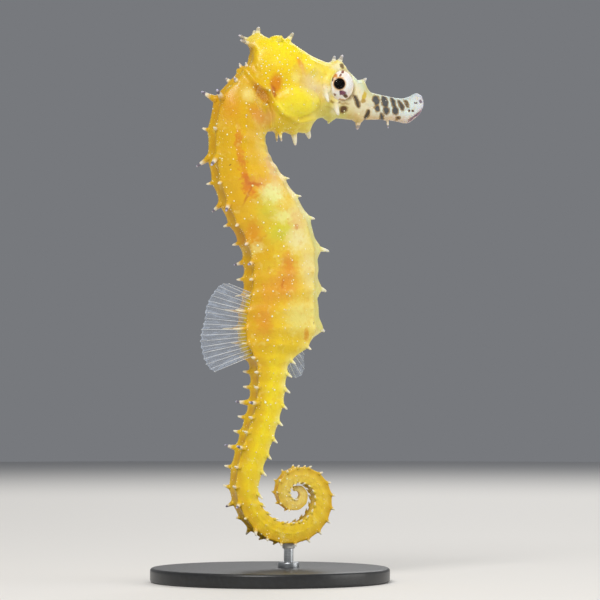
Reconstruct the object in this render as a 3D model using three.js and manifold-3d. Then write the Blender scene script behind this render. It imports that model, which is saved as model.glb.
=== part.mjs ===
// A thorny seahorse held by a plain display stand, at life size, in millimetres.
// +X is where the snout points, +Z is up, the animal's plane of symmetry is y = 0.
// The origin is the middle of the underside of the stand's base.
//
// The body is one long loft: cross-sections stand along the animal from the lips
// to the tip of the tail, and each is set by a point on the back, a point on the
// belly and half a width. Sections are counted in bony rings: ring 1 is the first
// trunk ring, and the head has negative places. Thin cuts part the loft into nodes.

import * as THREE from 'three';
import { mergeVertices } from 'three/addons/utils/BufferGeometryUtils.js';
import Module from 'manifold-3d';

const wasm = await Module();
wasm.setup();

// ---------------------------------------------------------------- driving sizes

const TRUNK_RINGS = 12;
const TAIL_RINGS = 35;
const LAST_RING = TRUNK_RINGS + TAIL_RINGS;
const CUT = 0.3;
const MERGE_DISTANCE = 1e-5;
const SLAB_SPARE = 0.6; // how far a cut reaches past the body

// Places where thin cuts part the body into its nodes.
const SNOUT_END = -8;
const NAPE = 0;
const NECK_END = 3.5;
const TRUNK_END = TRUNK_RINGS + 0.5;
const TAIL_CUTS = [TRUNK_END, 17.5, 22.5, 26.5, 29.5, 32.5, 35.5, 38.5, 41.5, 44.5, LAST_RING];

// Tail coil, seen from the side: its middle line closes in on an inner circle by
// the same ratio in each quarter turn. Turns are counted from the rear of the
// pole, down, forward and round, and ring lengths shrink by a ratio too.
const COIL = {
  pole: { x: 4.5, z: 14.55 },
  innerRadius: 0.45,
  startRadius: 8.98,
  quarterRatio: 0.685,
  startTurn: -0.05, // quarters
  halfDepth: 2.0,
  thinning: 0.22, // of the half depth, in each quarter
  firstRing: 22,
  pitch: 2.3,
  pitchRatio: 0.9694,
  widthToDepth: 0.95,
};

// Sections of the head, neck, trunk and upper tail: back and belly are [x, z].
const STATIONS = [
  { at: -13, back: [27.2, 80.6], belly: [27.2, 78.9], half: 0.8 }, // lips
  { at: -12, back: [26.5, 81.5], belly: [26.2, 77.7], half: 1.25 }, // mouth
  { at: -11, back: [25.2, 81.3], belly: [24.7, 76.4], half: 1.35 }, // jaw tip
  { at: -10, back: [23.3, 80.9], belly: [23.0, 76.8], half: 1.2 }, // snout waist
  { at: -9, back: [20.6, 81.3], belly: [20.2, 77.1], half: 1.3 }, // snout middle
  { at: -8, back: [17.0, 82.2], belly: [16.5, 77.1], half: 1.7 }, // snout root
  { at: -7, back: [15.2, 84.1], belly: [14.5, 77.2], half: 2.1 }, // brow
  { at: -6, back: [12.8, 86.0], belly: [12.1, 77.4], half: 2.6 }, // eyes
  { at: -5, back: [9.8, 86.8], belly: [9.4, 77.5], half: 2.8 }, // behind the eyes
  { at: -4, back: [7.2, 87.8], belly: [7.4, 76.9], half: 3.3 }, // cheek
  { at: -3, back: [5.3, 88.9], belly: [5.9, 75.7], half: 3.8 }, // gill cover
  { at: -2, back: [2.7, 90.3], belly: [4.1, 75.2], half: 3.7 }, // front of the crown
  { at: -1, back: [-0.8, 90.4], belly: [2.0, 75.0], half: 3.3 }, // crown
  { at: -0.5, back: [-3.4, 89.1], belly: [0.6, 75.1], half: 3.1 }, // back of the crown
  { at: 0, back: [-3.7, 86.9], belly: [-0.4, 75.0], half: 3.1 }, // nape
  { at: 0.5, back: [-6.1, 84.1], belly: [-0.8, 74.5], half: 3.4 }, // shoulder
  { at: 1, back: [-9.1, 80.5], belly: [-0.9, 73.8], half: 3.8 },
  { at: 3, back: [-10.1, 70.6], belly: [0.1, 70.9], half: 3.9 },
  { at: 5, back: [-8.0, 62.9], belly: [2.6, 67.3], half: 4.1 },
  { at: 7, back: [-4.7, 56.5], belly: [6.9, 60.7], half: 4.4 },
  { at: 8, back: [-3.9, 53.3], belly: [8.4, 55.6], half: 4.5 },
  { at: 10, back: [-4.0, 47.8], belly: [8.5, 49.0], half: 4.5 },
  { at: 11, back: [-4.7, 45.1], belly: [8.6, 45.7], half: 4.3 },
  { at: 12, back: [-5.0, 42.3], belly: [8.9, 42.2], half: 3.9 }, // last trunk ring
  { at: 13, back: [-4.7, 39.8], belly: [6.5, 39.2], half: 3.3 },
  { at: 14, back: [-3.4, 37.4], belly: [3.0, 36.9], half: 2.7 },
  { at: 15, back: [-2.8, 35.0], belly: [2.3, 34.7], half: 2.4 },
  { at: 17, back: [-3.1, 29.9], belly: [1.6, 29.4], half: 2.3 },
  { at: 20, back: [-5.4, 22.4], belly: [-1.0, 21.1], half: 2.1 },
  { at: 21, back: [-6.2, 19.2], belly: [-2.0, 18.4], half: 2.0 },
];

// Outline of a cross-section from the middle of the back round one side to the
// middle of the belly. depth runs from 1 at the back to -1 at the belly, and
// side is a share of the half width.
const TRUNK_PROFILE = [
  { depth: 0.88, side: 0 },
  { depth: 1.0, side: 0.52 }, // superior ridge
  { depth: 0.62, side: 0.83 },
  { depth: 0.12, side: 1.0 }, // lateral ridge
  { depth: -0.32, side: 0.93 },
  { depth: -0.7, side: 0.66 }, // inferior ridge
  { depth: -0.9, side: 0.32 },
  { depth: -1.0, side: 0 }, // keel
];
const TAIL_PROFILE = [
  { depth: 0.86, side: 0 },
  { depth: 1.0, side: 0.9 }, // superior ridge
  { depth: 0.5, side: 0.95 },
  { depth: 0.0, side: 0.96 },
  { depth: -0.5, side: 0.93 },
  { depth: -1.0, side: 0.8 }, // inferior ridge
  { depth: -0.95, side: 0.4 },
  { depth: -0.9, side: 0 },
];
const HEAD_ROUNDNESS = 0.85;
const MID_BACK = 0;
const KEEL = 7;
const RIDGE_POINT = { superior: 1, lateral: 3, inferior: 5 };

// Profile points that a section uses: the square tail needs fewer.
const ALL_CORNERS = [0, 1, 2, 3, 4, 5, 6, 7];
const SQUARE_CORNERS = [0, 1, 3, 5, 7];
const FULL_PROFILE_END = 15;

const TRUNK_GROOVE = 0.965;
const TAIL_GROOVE = 0.93;

// Thorns: long ones stand on every few rings, short ones on the rings between,
// and blunt ones on the coil.
const LONG_THORN_RINGS = new Set([1, 3, 5, 8, 11, 12, 17, 20, 23, 25]);
const LAST_FULL_THORN_RING = 17;
const THORN_FADE = 0.06; // of the long thorns, in each ring after that
const FIRST_BLUNT_RING = 24;
const FIRST_BARE_RING = 28;
const LAST_THORN_RING = 39;
const THORN = {
  superior: { long: 2.5, short: 1.2, blunt: 0.5 },
  lateral: { long: 0.9 },
  inferior: { long: 0.95, short: 0.8, blunt: 0.35 },
};
// Broad thorns along the keel, by ring.
const KEEL_THORNS = new Map([
  [4, { length: 0.5, radius: 0.35 }],
  [5, { length: 0.7, radius: 0.4 }],
  [6, { length: 0.8, radius: 0.45 }],
  [7, { length: 0.85, radius: 0.45 }],
  [8, { length: 1.9, radius: 0.75 }],
  [10, { length: 1.6, radius: 1.0 }],
  [12, { length: 1.0, radius: 0.95 }],
]);
const SPLAY = { superior: 48, lateral: 92, inferior: 135 };
const TAIL_SPLAY = { superior: 38, inferior: 142 };
const THORN_RADIUS = { least: 0.26, share: 0.13, sunk: 1.2, deepest: 0.5 };
const THORN_SIDES = { slender: 5, small: 4 };
const SMALL_THORN = 1.3;
const THORN_LEAN = 0.1;
const FIRST_LEANING_RING = 23;
const STRONG_LEAN = 0.55;
const KEEL_LEAN = 0.3;

const EYE = { x: 11.9, y: 2.2, z: 82.85, radius: 2.75, bulge: 1.2, forward: 25 };
const GILL_COVER = { x: 3.4, y: 2.7, z: 79.8, length: 4.2, height: 2.5, bulge: 1.75, tilt: 4 };
const CORONET = { x: 0.2, z: 89.6, length: 3.5, width: 2.3, height: 1.1, cutZ: 89.4 };

// Divisions round and from pole to pole of the rounded pieces.
const EYE_FACETS = [16, 10];
const SOFT_FACETS = [12, 6];

const FIN_THICKNESS = 0.5;
const PECTORAL = {
  x: -1.6, y: 3.75, z: 80.6, root: 0.5, ray: 3.4, spread: 62, outward: 32, droop: 8,
};

const BASE = { radius: 20, height: 2.4, bevel: 0.5, facets: 56 };
const ROD = { x: 3.3, radius: 0.8, sunk: 1.4, play: 0.3, facets: 20 };

// -------------------------------------------------------------------- materials

const finish = (color, roughness, extra = {}) =>
  new THREE.MeshStandardMaterial({ color, roughness, metalness: 0, ...extra });
const SKIN = { color: 0xe6b61a, roughness: 0.45 };
const SNOUT = { color: 0xd9dcc4, roughness: 0.45 };
const FIN = { color: 0xb9c6d2, roughness: 0.3, transparent: true, opacity: 0.45 };
const EYE_COLOR = { color: 0xf1e3cd, roughness: 0.15 };
const BLACK_PAINT = { color: 0x1d1f22, roughness: 0.5 };
const STEEL = { color: 0xb8bcc0, roughness: 0.3, metalness: 1 };

const model = new THREE.Group();

/** Adds one named solid to the model. */
function addNode(name, geometry, { color, roughness, ...extra }) {
  const mesh = new THREE.Mesh(geometry, finish(color, roughness, extra));
  mesh.name = name;
  model.add(mesh);
}

// --------------------------------------------------------------- joins and cuts

/** Turns a closed three.js geometry into a manifold solid. */
function toSolid(geometry) {
  const bare = geometry.clone();
  bare.deleteAttribute('normal');
  bare.deleteAttribute('uv');
  const merged = mergeVertices(bare, MERGE_DISTANCE);
  return new wasm.Manifold(new wasm.Mesh({
    numProp: 3,
    vertProperties: new Float32Array(merged.attributes.position.array),
    triVerts: new Uint32Array(merged.index.array),
  }));
}

/** Turns a manifold solid back into a three.js geometry. */
function toGeometry(solid) {
  const mesh = solid.getMesh();
  const geometry = new THREE.BufferGeometry();
  geometry.setAttribute('position', new THREE.BufferAttribute(mesh.vertProperties, 3));
  geometry.setIndex(new THREE.BufferAttribute(mesh.triVerts, 1));
  return geometry;
}

/** Joins a list of solids into one. */
const joinAll = (solids) => solids.reduce((whole, piece) => whole.add(piece));

const radians = (degrees) => THREE.MathUtils.degToRad(degrees);

// -------------------------------------------------------------------- body line

const QUARTER = Math.PI / 2;

/** Station of the tail coil after a turn, counted in quarters. */
function coilStation(ring, turn) {
  const closing = (COIL.startRadius - COIL.innerRadius) * COIL.quarterRatio ** turn;
  const radius = COIL.innerRadius + closing;
  const angle = Math.PI + turn * QUARTER;
  // The way outward leans off the radius by the slope at which the coil closes.
  const slope = (-Math.log(COIL.quarterRatio) / QUARTER) * closing;
  const out = angle - Math.atan(slope / radius);
  const half = COIL.halfDepth - COIL.thinning * turn;
  const x = COIL.pole.x + radius * Math.cos(angle);
  const z = COIL.pole.z + radius * Math.sin(angle);
  const dx = half * Math.cos(out);
  const dz = half * Math.sin(out);
  return {
    at: ring,
    back: [x + dx, z + dz],
    belly: [x - dx, z - dz],
    half: half * COIL.widthToDepth,
    radius,
  };
}

/** All stations of the coil, a ring's length apart. */
function coilStations() {
  const rings = [];
  let turn = COIL.startTurn;
  for (let ring = COIL.firstRing; ring <= LAST_RING; ring += 1) {
    const station = coilStation(ring, turn);
    rings.push(station);
    turn += (COIL.pitch * COIL.pitchRatio ** rings.length) / station.radius / QUARTER;
  }
  return rings;
}

const stations = [...STATIONS, ...coilStations()];

/** Smooth value through the stations at any place (cubic Hermite). */
function along(place, read) {
  const last = stations.length - 2;
  const found = stations.findIndex((station) => station.at > place) - 1;
  const i = found < 0 ? last : THREE.MathUtils.clamp(found, 0, last);
  const slope = (k) => {
    const a = stations[Math.max(k - 1, 0)];
    const b = stations[Math.min(k + 1, stations.length - 1)];
    return (read(b) - read(a)) / (b.at - a.at);
  };
  const a = stations[i];
  const b = stations[i + 1];
  const span = b.at - a.at;
  const t = (place - a.at) / span;
  return (2 * t ** 3 - 3 * t ** 2 + 1) * read(a)
    + (t ** 3 - 2 * t ** 2 + t) * span * slope(i)
    + (3 * t ** 2 - 2 * t ** 3) * read(b)
    + (t ** 3 - t ** 2) * span * slope(i + 1);
}

/** Middle, way to the back, half depth and half width of the body at a place. */
function frameAt(place) {
  const back = new THREE.Vector3(along(place, (s) => s.back[0]), 0, along(place, (s) => s.back[1]));
  const belly = new THREE.Vector3(along(place, (s) => s.belly[0]), 0, along(place, (s) => s.belly[1]));
  const middle = back.clone().add(belly).multiplyScalar(0.5);
  const up = back.clone().sub(belly);
  const halfDepth = up.length() / 2;
  return { middle, up: up.normalize(), halfDepth, halfWidth: along(place, (s) => s.half) };
}

/** Half outline of the section at a place: head, trunk and tail shapes blend. */
function profileAt(place) {
  const toTrunk = THREE.MathUtils.smoothstep(place, -1, 1.5);
  const toTail = THREE.MathUtils.smoothstep(place, TRUNK_RINGS - 0.5, TRUNK_RINGS + 2.5);
  return TRUNK_PROFILE.map((trunk, i) => {
    const angle = (Math.PI * i) / KEEL;
    const head = {
      depth: Math.sign(Math.cos(angle)) * Math.abs(Math.cos(angle)) ** HEAD_ROUNDNESS,
      side: Math.sin(angle) ** HEAD_ROUNDNESS,
    };
    const blend = (key) => THREE.MathUtils.lerp(
      THREE.MathUtils.lerp(head[key], trunk[key], toTrunk),
      TAIL_PROFILE[i][key],
      toTail,
    );
    return { depth: blend('depth'), side: blend('side') };
  });
}

/** Point of the body's surface at a place, on one profile point of one side. */
function surfacePoint(place, index, side) {
  const { middle, up, halfDepth, halfWidth } = frameAt(place);
  const { depth, side: share } = profileAt(place)[index];
  const point = middle.clone().addScaledVector(up, depth * halfDepth);
  point.y = side * share * halfWidth;
  return point;
}

/** Size of the body between rings, where the plates dip. */
function grooveAt(place) {
  if (place < 1) return 1;
  const onRing = Math.abs(place - Math.round(place)) < 0.25;
  if (onRing) return 1;
  return place < TRUNK_RINGS ? TRUNK_GROOVE : TAIL_GROOVE;
}

/** All the points round the section at a place, on the listed profile points. */
function sectionPoints(place, corners) {
  const { middle } = frameAt(place);
  const otherSide = corners.slice(1, -1).reverse();
  const around = [
    ...corners.map((corner) => surfacePoint(place, corner, 1)),
    ...otherSide.map((corner) => surfacePoint(place, corner, -1)),
  ];
  const groove = grooveAt(place);
  return around.map((point) => point.sub(middle).multiplyScalar(groove).add(middle));
}

/** Closed loft of the body between two places, with a section at every step. */
function bodyLoft(from, to) {
  const step = to <= SNOUT_END ? 1 : 0.5;
  const corners = from > FULL_PROFILE_END ? SQUARE_CORNERS : ALL_CORNERS;
  const places = [from];
  for (let i = Math.floor(from / step) + 1; i * step < to - 0.01; i += 1) places.push(i * step);
  places.push(to);
  const positions = [];
  const indices = [];
  const around = 2 * (corners.length - 1);
  for (const place of places) {
    for (const point of sectionPoints(place, corners)) positions.push(point.x, point.y, point.z);
  }
  for (let row = 0; row < places.length - 1; row += 1) {
    for (let i = 0; i < around; i += 1) {
      const a = row * around + i;
      const b = row * around + ((i + 1) % around);
      indices.push(a, b, a + around, b, b + around, a + around);
    }
  }
  for (const [row, flip] of [[0, false], [places.length - 1, true]]) {
    const start = row * around;
    for (let i = 1; i < around - 1; i += 1) {
      if (flip) indices.push(start, start + i, start + i + 1);
      else indices.push(start, start + i + 1, start + i);
    }
  }
  const geometry = new THREE.BufferGeometry();
  geometry.setAttribute('position', new THREE.Float32BufferAttribute(positions, 3));
  geometry.setIndex(indices);
  return toSolid(geometry);
}

/** Thin slab across the body at a place, which parts two nodes. */
function cutSlab(place) {
  const { middle, up, halfDepth, halfWidth } = frameAt(place);
  const slab = new THREE.BoxGeometry(CUT, 2 * (halfWidth + SLAB_SPARE), 2 * (halfDepth + SLAB_SPARE));
  slab.rotateY(Math.atan2(up.x, up.z));
  slab.translate(middle.x, 0, middle.z);
  return toSolid(slab);
}

// ----------------------------------------------------------------------- thorns

/** Slender thorn that grows from a root point towards its tip. */
function thorn(root, tip, radius) {
  const reach = tip.clone().sub(root);
  const sunk = Math.min(THORN_RADIUS.deepest, radius * THORN_RADIUS.sunk);
  const length = reach.length() + sunk;
  const sides = reach.length() > SMALL_THORN ? THORN_SIDES.slender : THORN_SIDES.small;
  const cone = new THREE.ConeGeometry(radius, length, sides);
  cone.translate(0, length / 2 - sunk, 0);
  const turn = new THREE.Quaternion().setFromUnitVectors(
    new THREE.Vector3(0, 1, 0),
    reach.normalize(),
  );
  cone.applyQuaternion(turn);
  cone.translate(root.x, root.y, root.z);
  return toSolid(cone);
}

const vector = (x, y, z) => new THREE.Vector3(x, y, z);

/** Length of the thorn of a side ridge at a ring, or 0 where there is none. */
function thornLength(ring, ridge) {
  const isLong = LONG_THORN_RINGS.has(ring);
  const { long, short, blunt } = THORN[ridge];
  if (ridge === 'lateral') return isLong ? long : 0;
  if (isLong) return long * (1 - THORN_FADE * Math.max(ring - LAST_FULL_THORN_RING, 0));
  if (ring < FIRST_BLUNT_RING) return short;
  if (ring >= FIRST_BARE_RING && (ridge === 'inferior' || ring % 2 === 0)) return 0;
  return (blunt * frameAt(ring).halfDepth) / COIL.halfDepth;
}

/** Thorns of every ridge of one ring. */
function ringThorns(ring) {
  const { up } = frameAt(ring);
  const onward = frameAt(ring + 0.3).middle.sub(frameAt(ring - 0.3).middle).normalize();
  const splay = ring <= TRUNK_RINGS ? SPLAY : TAIL_SPLAY;
  const lean = ring < FIRST_LEANING_RING ? THORN_LEAN : STRONG_LEAN;
  const thorns = [];
  for (const ridge of Object.keys(splay)) {
    const length = thornLength(ring, ridge);
    if (length === 0) continue;
    for (const side of [1, -1]) {
      const root = surfacePoint(ring, RIDGE_POINT[ridge], side);
      const tip = root.clone()
        .addScaledVector(up, length * Math.cos(radians(splay[ridge])))
        .addScaledVector(onward, length * lean);
      tip.y += side * length * Math.sin(radians(splay[ridge]));
      thorns.push(thorn(root, tip, THORN_RADIUS.least + THORN_RADIUS.share * length));
    }
  }
  if (KEEL_THORNS.has(ring)) {
    const { length, radius } = KEEL_THORNS.get(ring);
    const root = surfacePoint(ring, KEEL, 1);
    const tip = root.clone().addScaledVector(up, -length).addScaledVector(onward, length * KEEL_LEAN);
    thorns.push(thorn(root, tip, radius));
  }
  return thorns;
}

// ---------------------------------------------------------------- head furniture

// Each row is a thorn of the head: its root, its tip and the radius at the root.
// A row with pair set stands on both sides of the head.
const HEAD_THORNS = [
  { root: [12.0, 1.0, 85.9], tip: [12.1, 2.3, 88.1], radius: 0.65, pair: true }, // over the eye
  { root: [15.8, 0, 82.6], tip: [16.9, 0, 84.5], radius: 0.9 }, // nose
  { root: [9.9, 2.6, 80.6], tip: [9.4, 3.5, 79.7], radius: 0.38, pair: true }, // behind the eye
  { root: [11.5, 2.2, 79.2], tip: [11.3, 3.1, 77.8], radius: 0.42, pair: true }, // cheek
  { root: [15.7, 0, 77.6], tip: [15.8, 0, 75.6], radius: 0.65 }, // chin
  { root: [9.6, 1.6, 77.9], tip: [9.5, 2.0, 76.5], radius: 0.5, pair: true }, // jaw
  { root: [6.3, 2.4, 76.6], tip: [6.3, 3.2, 74.2], radius: 0.5, pair: true }, // throat
  { root: [3.7, 2.4, 76.0], tip: [3.6, 3.2, 72.9], radius: 0.52, pair: true }, // throat
  { root: [1.3, 0, 75.4], tip: [0.9, 0, 73.4], radius: 0.42 }, // throat
];
const SNOUT_THORNS = [
  { root: [20.8, 0, 77.5], tip: [21.3, 0, 75.9], radius: 0.38 }, // under the snout
];
const NECK_THORNS = [
  { root: [-4.5, 1.4, 85.6], tip: [-5.0, 1.7, 86.6], radius: 0.42, pair: true },
  { root: [-6.3, 1.7, 83.2], tip: [-7.2, 2.3, 83.8], radius: 0.42, pair: true },
];
const CORONET_THORNS = [
  { root: [-3.4, 0.4, 89.9], tip: [-5.4, 0.4, 91.1], radius: 0.8 }, // rear, upper point
  { root: [-3.3, -0.4, 89.7], tip: [-5.3, -0.4, 90.1], radius: 0.6 }, // rear, lower point
  { root: [-1.7, 1.2, 90.1], tip: [-1.3, 2.4, 92.6], radius: 0.95 }, // left
  { root: [-2.1, 1.4, 90.0], tip: [-2.1, 2.3, 91.9], radius: 0.6 }, // left, side point
  { root: [0.6, -1.3, 89.9], tip: [-0.1, -2.6, 91.2], radius: 1.15 }, // right
  { root: [3.0, 0, 89.6], tip: [4.0, 0, 91.7], radius: 0.8 }, // front
];

/** Solids of a list of thorns, with the second of each pair. */
function thornList(rows) {
  const solids = [];
  for (const { root, tip, radius, pair } of rows) {
    for (const side of pair ? [1, -1] : [1]) {
      const from = vector(root[0], root[1] * side, root[2]);
      const to = vector(tip[0], tip[1] * side, tip[2]);
      solids.push(thorn(from, to, radius));
    }
  }
  return solids;
}

/** Flattened ball of one eye, larger by a margin, which looks a little forward. */
function eyeBall(side, margin) {
  const ball = new THREE.SphereGeometry(1, ...EYE_FACETS);
  ball.scale(EYE.radius + margin, EYE.bulge + margin, EYE.radius + margin);
  ball.rotateZ(-side * radians(EYE.forward));
  ball.translate(EYE.x, side * EYE.y, EYE.z);
  return ball;
}

/** Swollen cover over the gills of one side. */
function gillCover(side) {
  const cover = new THREE.SphereGeometry(1, ...SOFT_FACETS);
  cover.scale(GILL_COVER.length, GILL_COVER.bulge, GILL_COVER.height);
  cover.rotateY(radians(-GILL_COVER.tilt));
  cover.translate(GILL_COVER.x, side * GILL_COVER.y, GILL_COVER.z);
  return toSolid(cover);
}

/** Low round mound that the coronet's thorns stand on. */
function coronetMound() {
  const mound = new THREE.SphereGeometry(1, ...SOFT_FACETS);
  mound.scale(CORONET.length, CORONET.width, CORONET.height);
  mound.translate(CORONET.x, 0, CORONET.z);
  return toSolid(mound);
}

/** Box that holds all of the head above a height. */
function boxAbove(height) {
  const size = { length: 30, width: 20, height: 10 };
  const box = new THREE.BoxGeometry(size.length, size.width, size.height);
  box.translate(0, 0, height + size.height / 2);
  return toSolid(box);
}

// -------------------------------------------------------------------- body nodes

/** Builds one node of flesh between two places, with its thorns. */
function bodyNode(from, to, extras) {
  let solid = joinAll([bodyLoft(from, to), ...extras]);
  if (from > STATIONS[0].at) solid = solid.subtract(cutSlab(from));
  if (to < LAST_RING) solid = solid.subtract(cutSlab(to));
  return solid;
}

/** Thorns of all the rings between two places. */
function thornsBetween(from, to) {
  const thorns = [];
  for (let ring = Math.ceil(from); ring < Math.min(to, LAST_THORN_RING + 1); ring += 1) {
    thorns.push(...ringThorns(ring));
  }
  return thorns;
}


addNode('snout', toGeometry(bodyNode(-13, SNOUT_END, thornList(SNOUT_THORNS))), SNOUT);

const headExtras = [gillCover(1), gillCover(-1), coronetMound(), ...thornList(HEAD_THORNS)];
const headAndCrown = bodyNode(SNOUT_END, NAPE, headExtras)
  .subtract(toSolid(eyeBall(1, CUT)))
  .subtract(toSolid(eyeBall(-1, CUT)));
const head = headAndCrown.subtract(boxAbove(CORONET.cutZ - CUT / 2));
const coronet = joinAll([headAndCrown, ...thornList(CORONET_THORNS)])
  .intersect(boxAbove(CORONET.cutZ + CUT / 2));
addNode('head', toGeometry(head), SKIN);
addNode('coronet', toGeometry(coronet), SKIN);
addNode('eye_left', eyeBall(1, 0), EYE_COLOR);
addNode('eye_right', eyeBall(-1, 0), EYE_COLOR);

const neckThorns = [...thornsBetween(1, NECK_END), ...thornList(NECK_THORNS)];
addNode('neck', toGeometry(bodyNode(NAPE, NECK_END, neckThorns)), SKIN);
addNode('trunk', toGeometry(bodyNode(NECK_END, TRUNK_END, thornsBetween(NECK_END, TRUNK_END))), SKIN);

for (let length = 1; length < TAIL_CUTS.length; length += 1) {
  const from = TAIL_CUTS[length - 1];
  const to = TAIL_CUTS[length];
  addNode(`tail_${length}`, toGeometry(bodyNode(from, to, thornsBetween(from, to))), SKIN);
}

// -------------------------------------------------------------------------- fins

/** Flat fin in the plane of symmetry, from a root line and a free edge. */
function medianFin(rootLine, edgePoints, divisions) {
  const edge = new THREE.SplineCurve(edgePoints.map(([x, z]) => new THREE.Vector2(x, z)));
  const outline = new THREE.Shape([...rootLine, ...edge.getPoints(divisions)]);
  const plate = new THREE.ExtrudeGeometry(outline, { depth: FIN_THICKNESS, bevelEnabled: false });
  plate.translate(0, 0, -FIN_THICKNESS / 2);
  plate.rotateX(Math.PI / 2);
  return plate;
}

/** Line along the middle of the back or belly, clear of it by the cut. */
function rootLine(from, to, index, steps) {
  const line = [];
  for (let i = 0; i <= steps; i += 1) {
    const place = THREE.MathUtils.lerp(from, to, i / steps);
    const out = frameAt(place).up.multiplyScalar(index === KEEL ? -CUT : CUT);
    const point = surfacePoint(place, index, 1).add(out);
    line.push(new THREE.Vector2(point.x, point.z));
  }
  return line;
}

const DORSAL_EDGE = [
  [-4.7, 38.1], [-7.1, 37.2], [-8.9, 36.0], [-10.2, 35.2], [-11.5, 36.6],
  [-12.3, 39.6], [-11.9, 43.0], [-10.9, 46.3], [-9.5, 49.1], [-7.9, 49.6], [-4.6, 48.4],
];
addNode('dorsal_fin', medianFin(rootLine(9.95, 13.8, MID_BACK, 6), DORSAL_EDGE, 30), FIN);

const ANAL_EDGE = [[3.1, 36.4], [3.4, 34.7], [4.4, 34.0], [5.9, 35.0], [6.1, 36.6], [5.9, 37.8]];
addNode('anal_fin', medianFin(rootLine(13.15, 13.9, KEEL, 3), ANAL_EDGE, 14), FIN);

/** Small fan of one pectoral fin, which stands off behind the gill cover. */
function pectoralFin(side) {
  const spread = radians(PECTORAL.spread);
  const fan = new THREE.Shape();
  fan.absarc(0, 0, PECTORAL.root, Math.PI - spread, Math.PI + spread, false);
  fan.absarc(0, 0, PECTORAL.ray, Math.PI + spread, Math.PI - spread, true);
  fan.closePath();
  const plate = new THREE.ExtrudeGeometry(fan, {
    depth: FIN_THICKNESS,
    bevelEnabled: false,
    curveSegments: 7,
  });
  plate.translate(0, 0, -FIN_THICKNESS / 2);
  plate.rotateX(Math.PI / 2);
  plate.rotateY(radians(-PECTORAL.droop));
  plate.rotateZ(-side * radians(PECTORAL.outward));
  plate.translate(PECTORAL.x, side * PECTORAL.y, PECTORAL.z);
  return plate;
}
addNode('pectoral_fin_left', pectoralFin(1), FIN);
addNode('pectoral_fin_right', pectoralFin(-1), FIN);

// ------------------------------------------------------------------------- stand

/** Round base plate with an eased upper edge and a blind hole for the rod. */
function standBase() {
  const { radius, height, bevel } = BASE;
  const profile = [
    [0, 0], [radius, 0], [radius, height - bevel], [radius - bevel, height], [0, height],
  ].map(([x, y]) => new THREE.Vector2(x, y));
  const plate = new THREE.LatheGeometry(profile, BASE.facets);
  plate.rotateX(Math.PI / 2);
  const wall = ROD.radius + ROD.play;
  const hole = new THREE.CylinderGeometry(wall, wall, 2 * ROD.sunk, ROD.facets);
  hole.rotateX(Math.PI / 2);
  hole.translate(ROD.x, 0, height);
  return toSolid(plate).subtract(toSolid(hole));
}
addNode('stand_base', toGeometry(standBase()), BLACK_PAINT);

/** Upright rod from the hole in the base up to the underside of the tail's coil. */
function standRod() {
  const foot = BASE.height - ROD.sunk + ROD.play;
  const underside = coilStation(0, 1).back[1];
  const head = underside - CUT;
  const rod = new THREE.CylinderGeometry(ROD.radius, ROD.radius, head - foot, ROD.facets);
  rod.rotateX(Math.PI / 2);
  rod.translate(ROD.x, 0, (head + foot) / 2);
  return rod;
}
addNode('stand_rod', standRod(), STEEL);

export default model;
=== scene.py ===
"""A thorny yellow seahorse on a small display stand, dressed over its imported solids.

The animal is one skin, swept along the body from the lips to the tip of the coiled
tail over the same stations as the solids, and worked up with folds, ridges and the
feet of its thorns. Thorns, white warts and fin rays grow on it by Geometry Nodes.
Sizes are in millimetres in the animal's own frame: x forward, y to its left, z up.
"""

from dataclasses import dataclass, field, replace
from enum import Enum
import logging
import math

import bmesh
import bpy
from bpy.types import ID, Material, Mesh, Node, NodeOutputs, NodeSocket, NodeTree, Object
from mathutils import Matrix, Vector
import numpy as np


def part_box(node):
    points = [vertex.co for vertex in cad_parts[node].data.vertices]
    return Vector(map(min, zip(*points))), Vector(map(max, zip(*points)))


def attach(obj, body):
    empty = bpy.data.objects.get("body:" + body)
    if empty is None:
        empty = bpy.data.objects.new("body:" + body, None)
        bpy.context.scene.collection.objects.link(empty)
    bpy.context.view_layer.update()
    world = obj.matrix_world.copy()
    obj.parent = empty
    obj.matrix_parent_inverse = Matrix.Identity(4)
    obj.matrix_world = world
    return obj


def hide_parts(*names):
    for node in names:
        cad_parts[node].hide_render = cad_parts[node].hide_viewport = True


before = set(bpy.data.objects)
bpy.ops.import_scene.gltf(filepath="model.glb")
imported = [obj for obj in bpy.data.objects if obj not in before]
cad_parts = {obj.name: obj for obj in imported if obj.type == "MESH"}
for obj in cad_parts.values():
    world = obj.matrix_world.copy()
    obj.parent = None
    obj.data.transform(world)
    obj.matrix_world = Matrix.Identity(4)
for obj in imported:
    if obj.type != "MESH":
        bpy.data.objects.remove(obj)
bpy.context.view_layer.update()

MM = 0.001
BODY = "root"
TURN = 2 * math.pi
QUARTER = TURN / 4

log = logging.getLogger("seahorse")

Colour = tuple[float, float, float, float]
Point = tuple[float, float, float]
Pair = tuple[float, float]


class Ridge(Enum):
    """Lengthwise ridges of one side of the body, by their point of the section."""

    SUPERIOR = 1
    LATERAL = 3
    INFERIOR = 5


class Form(Enum):
    """How a swelling of the skin rises from its edge."""

    SOFT = "soft"
    PLATE = "plate"


# ------------------------------------------------------------------ driving sizes


@dataclass(frozen=True)
class Station:
    """A section of the body: a point on the back, one on the belly, half a width."""

    at: float
    back: Pair
    belly: Pair
    half: float


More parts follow.
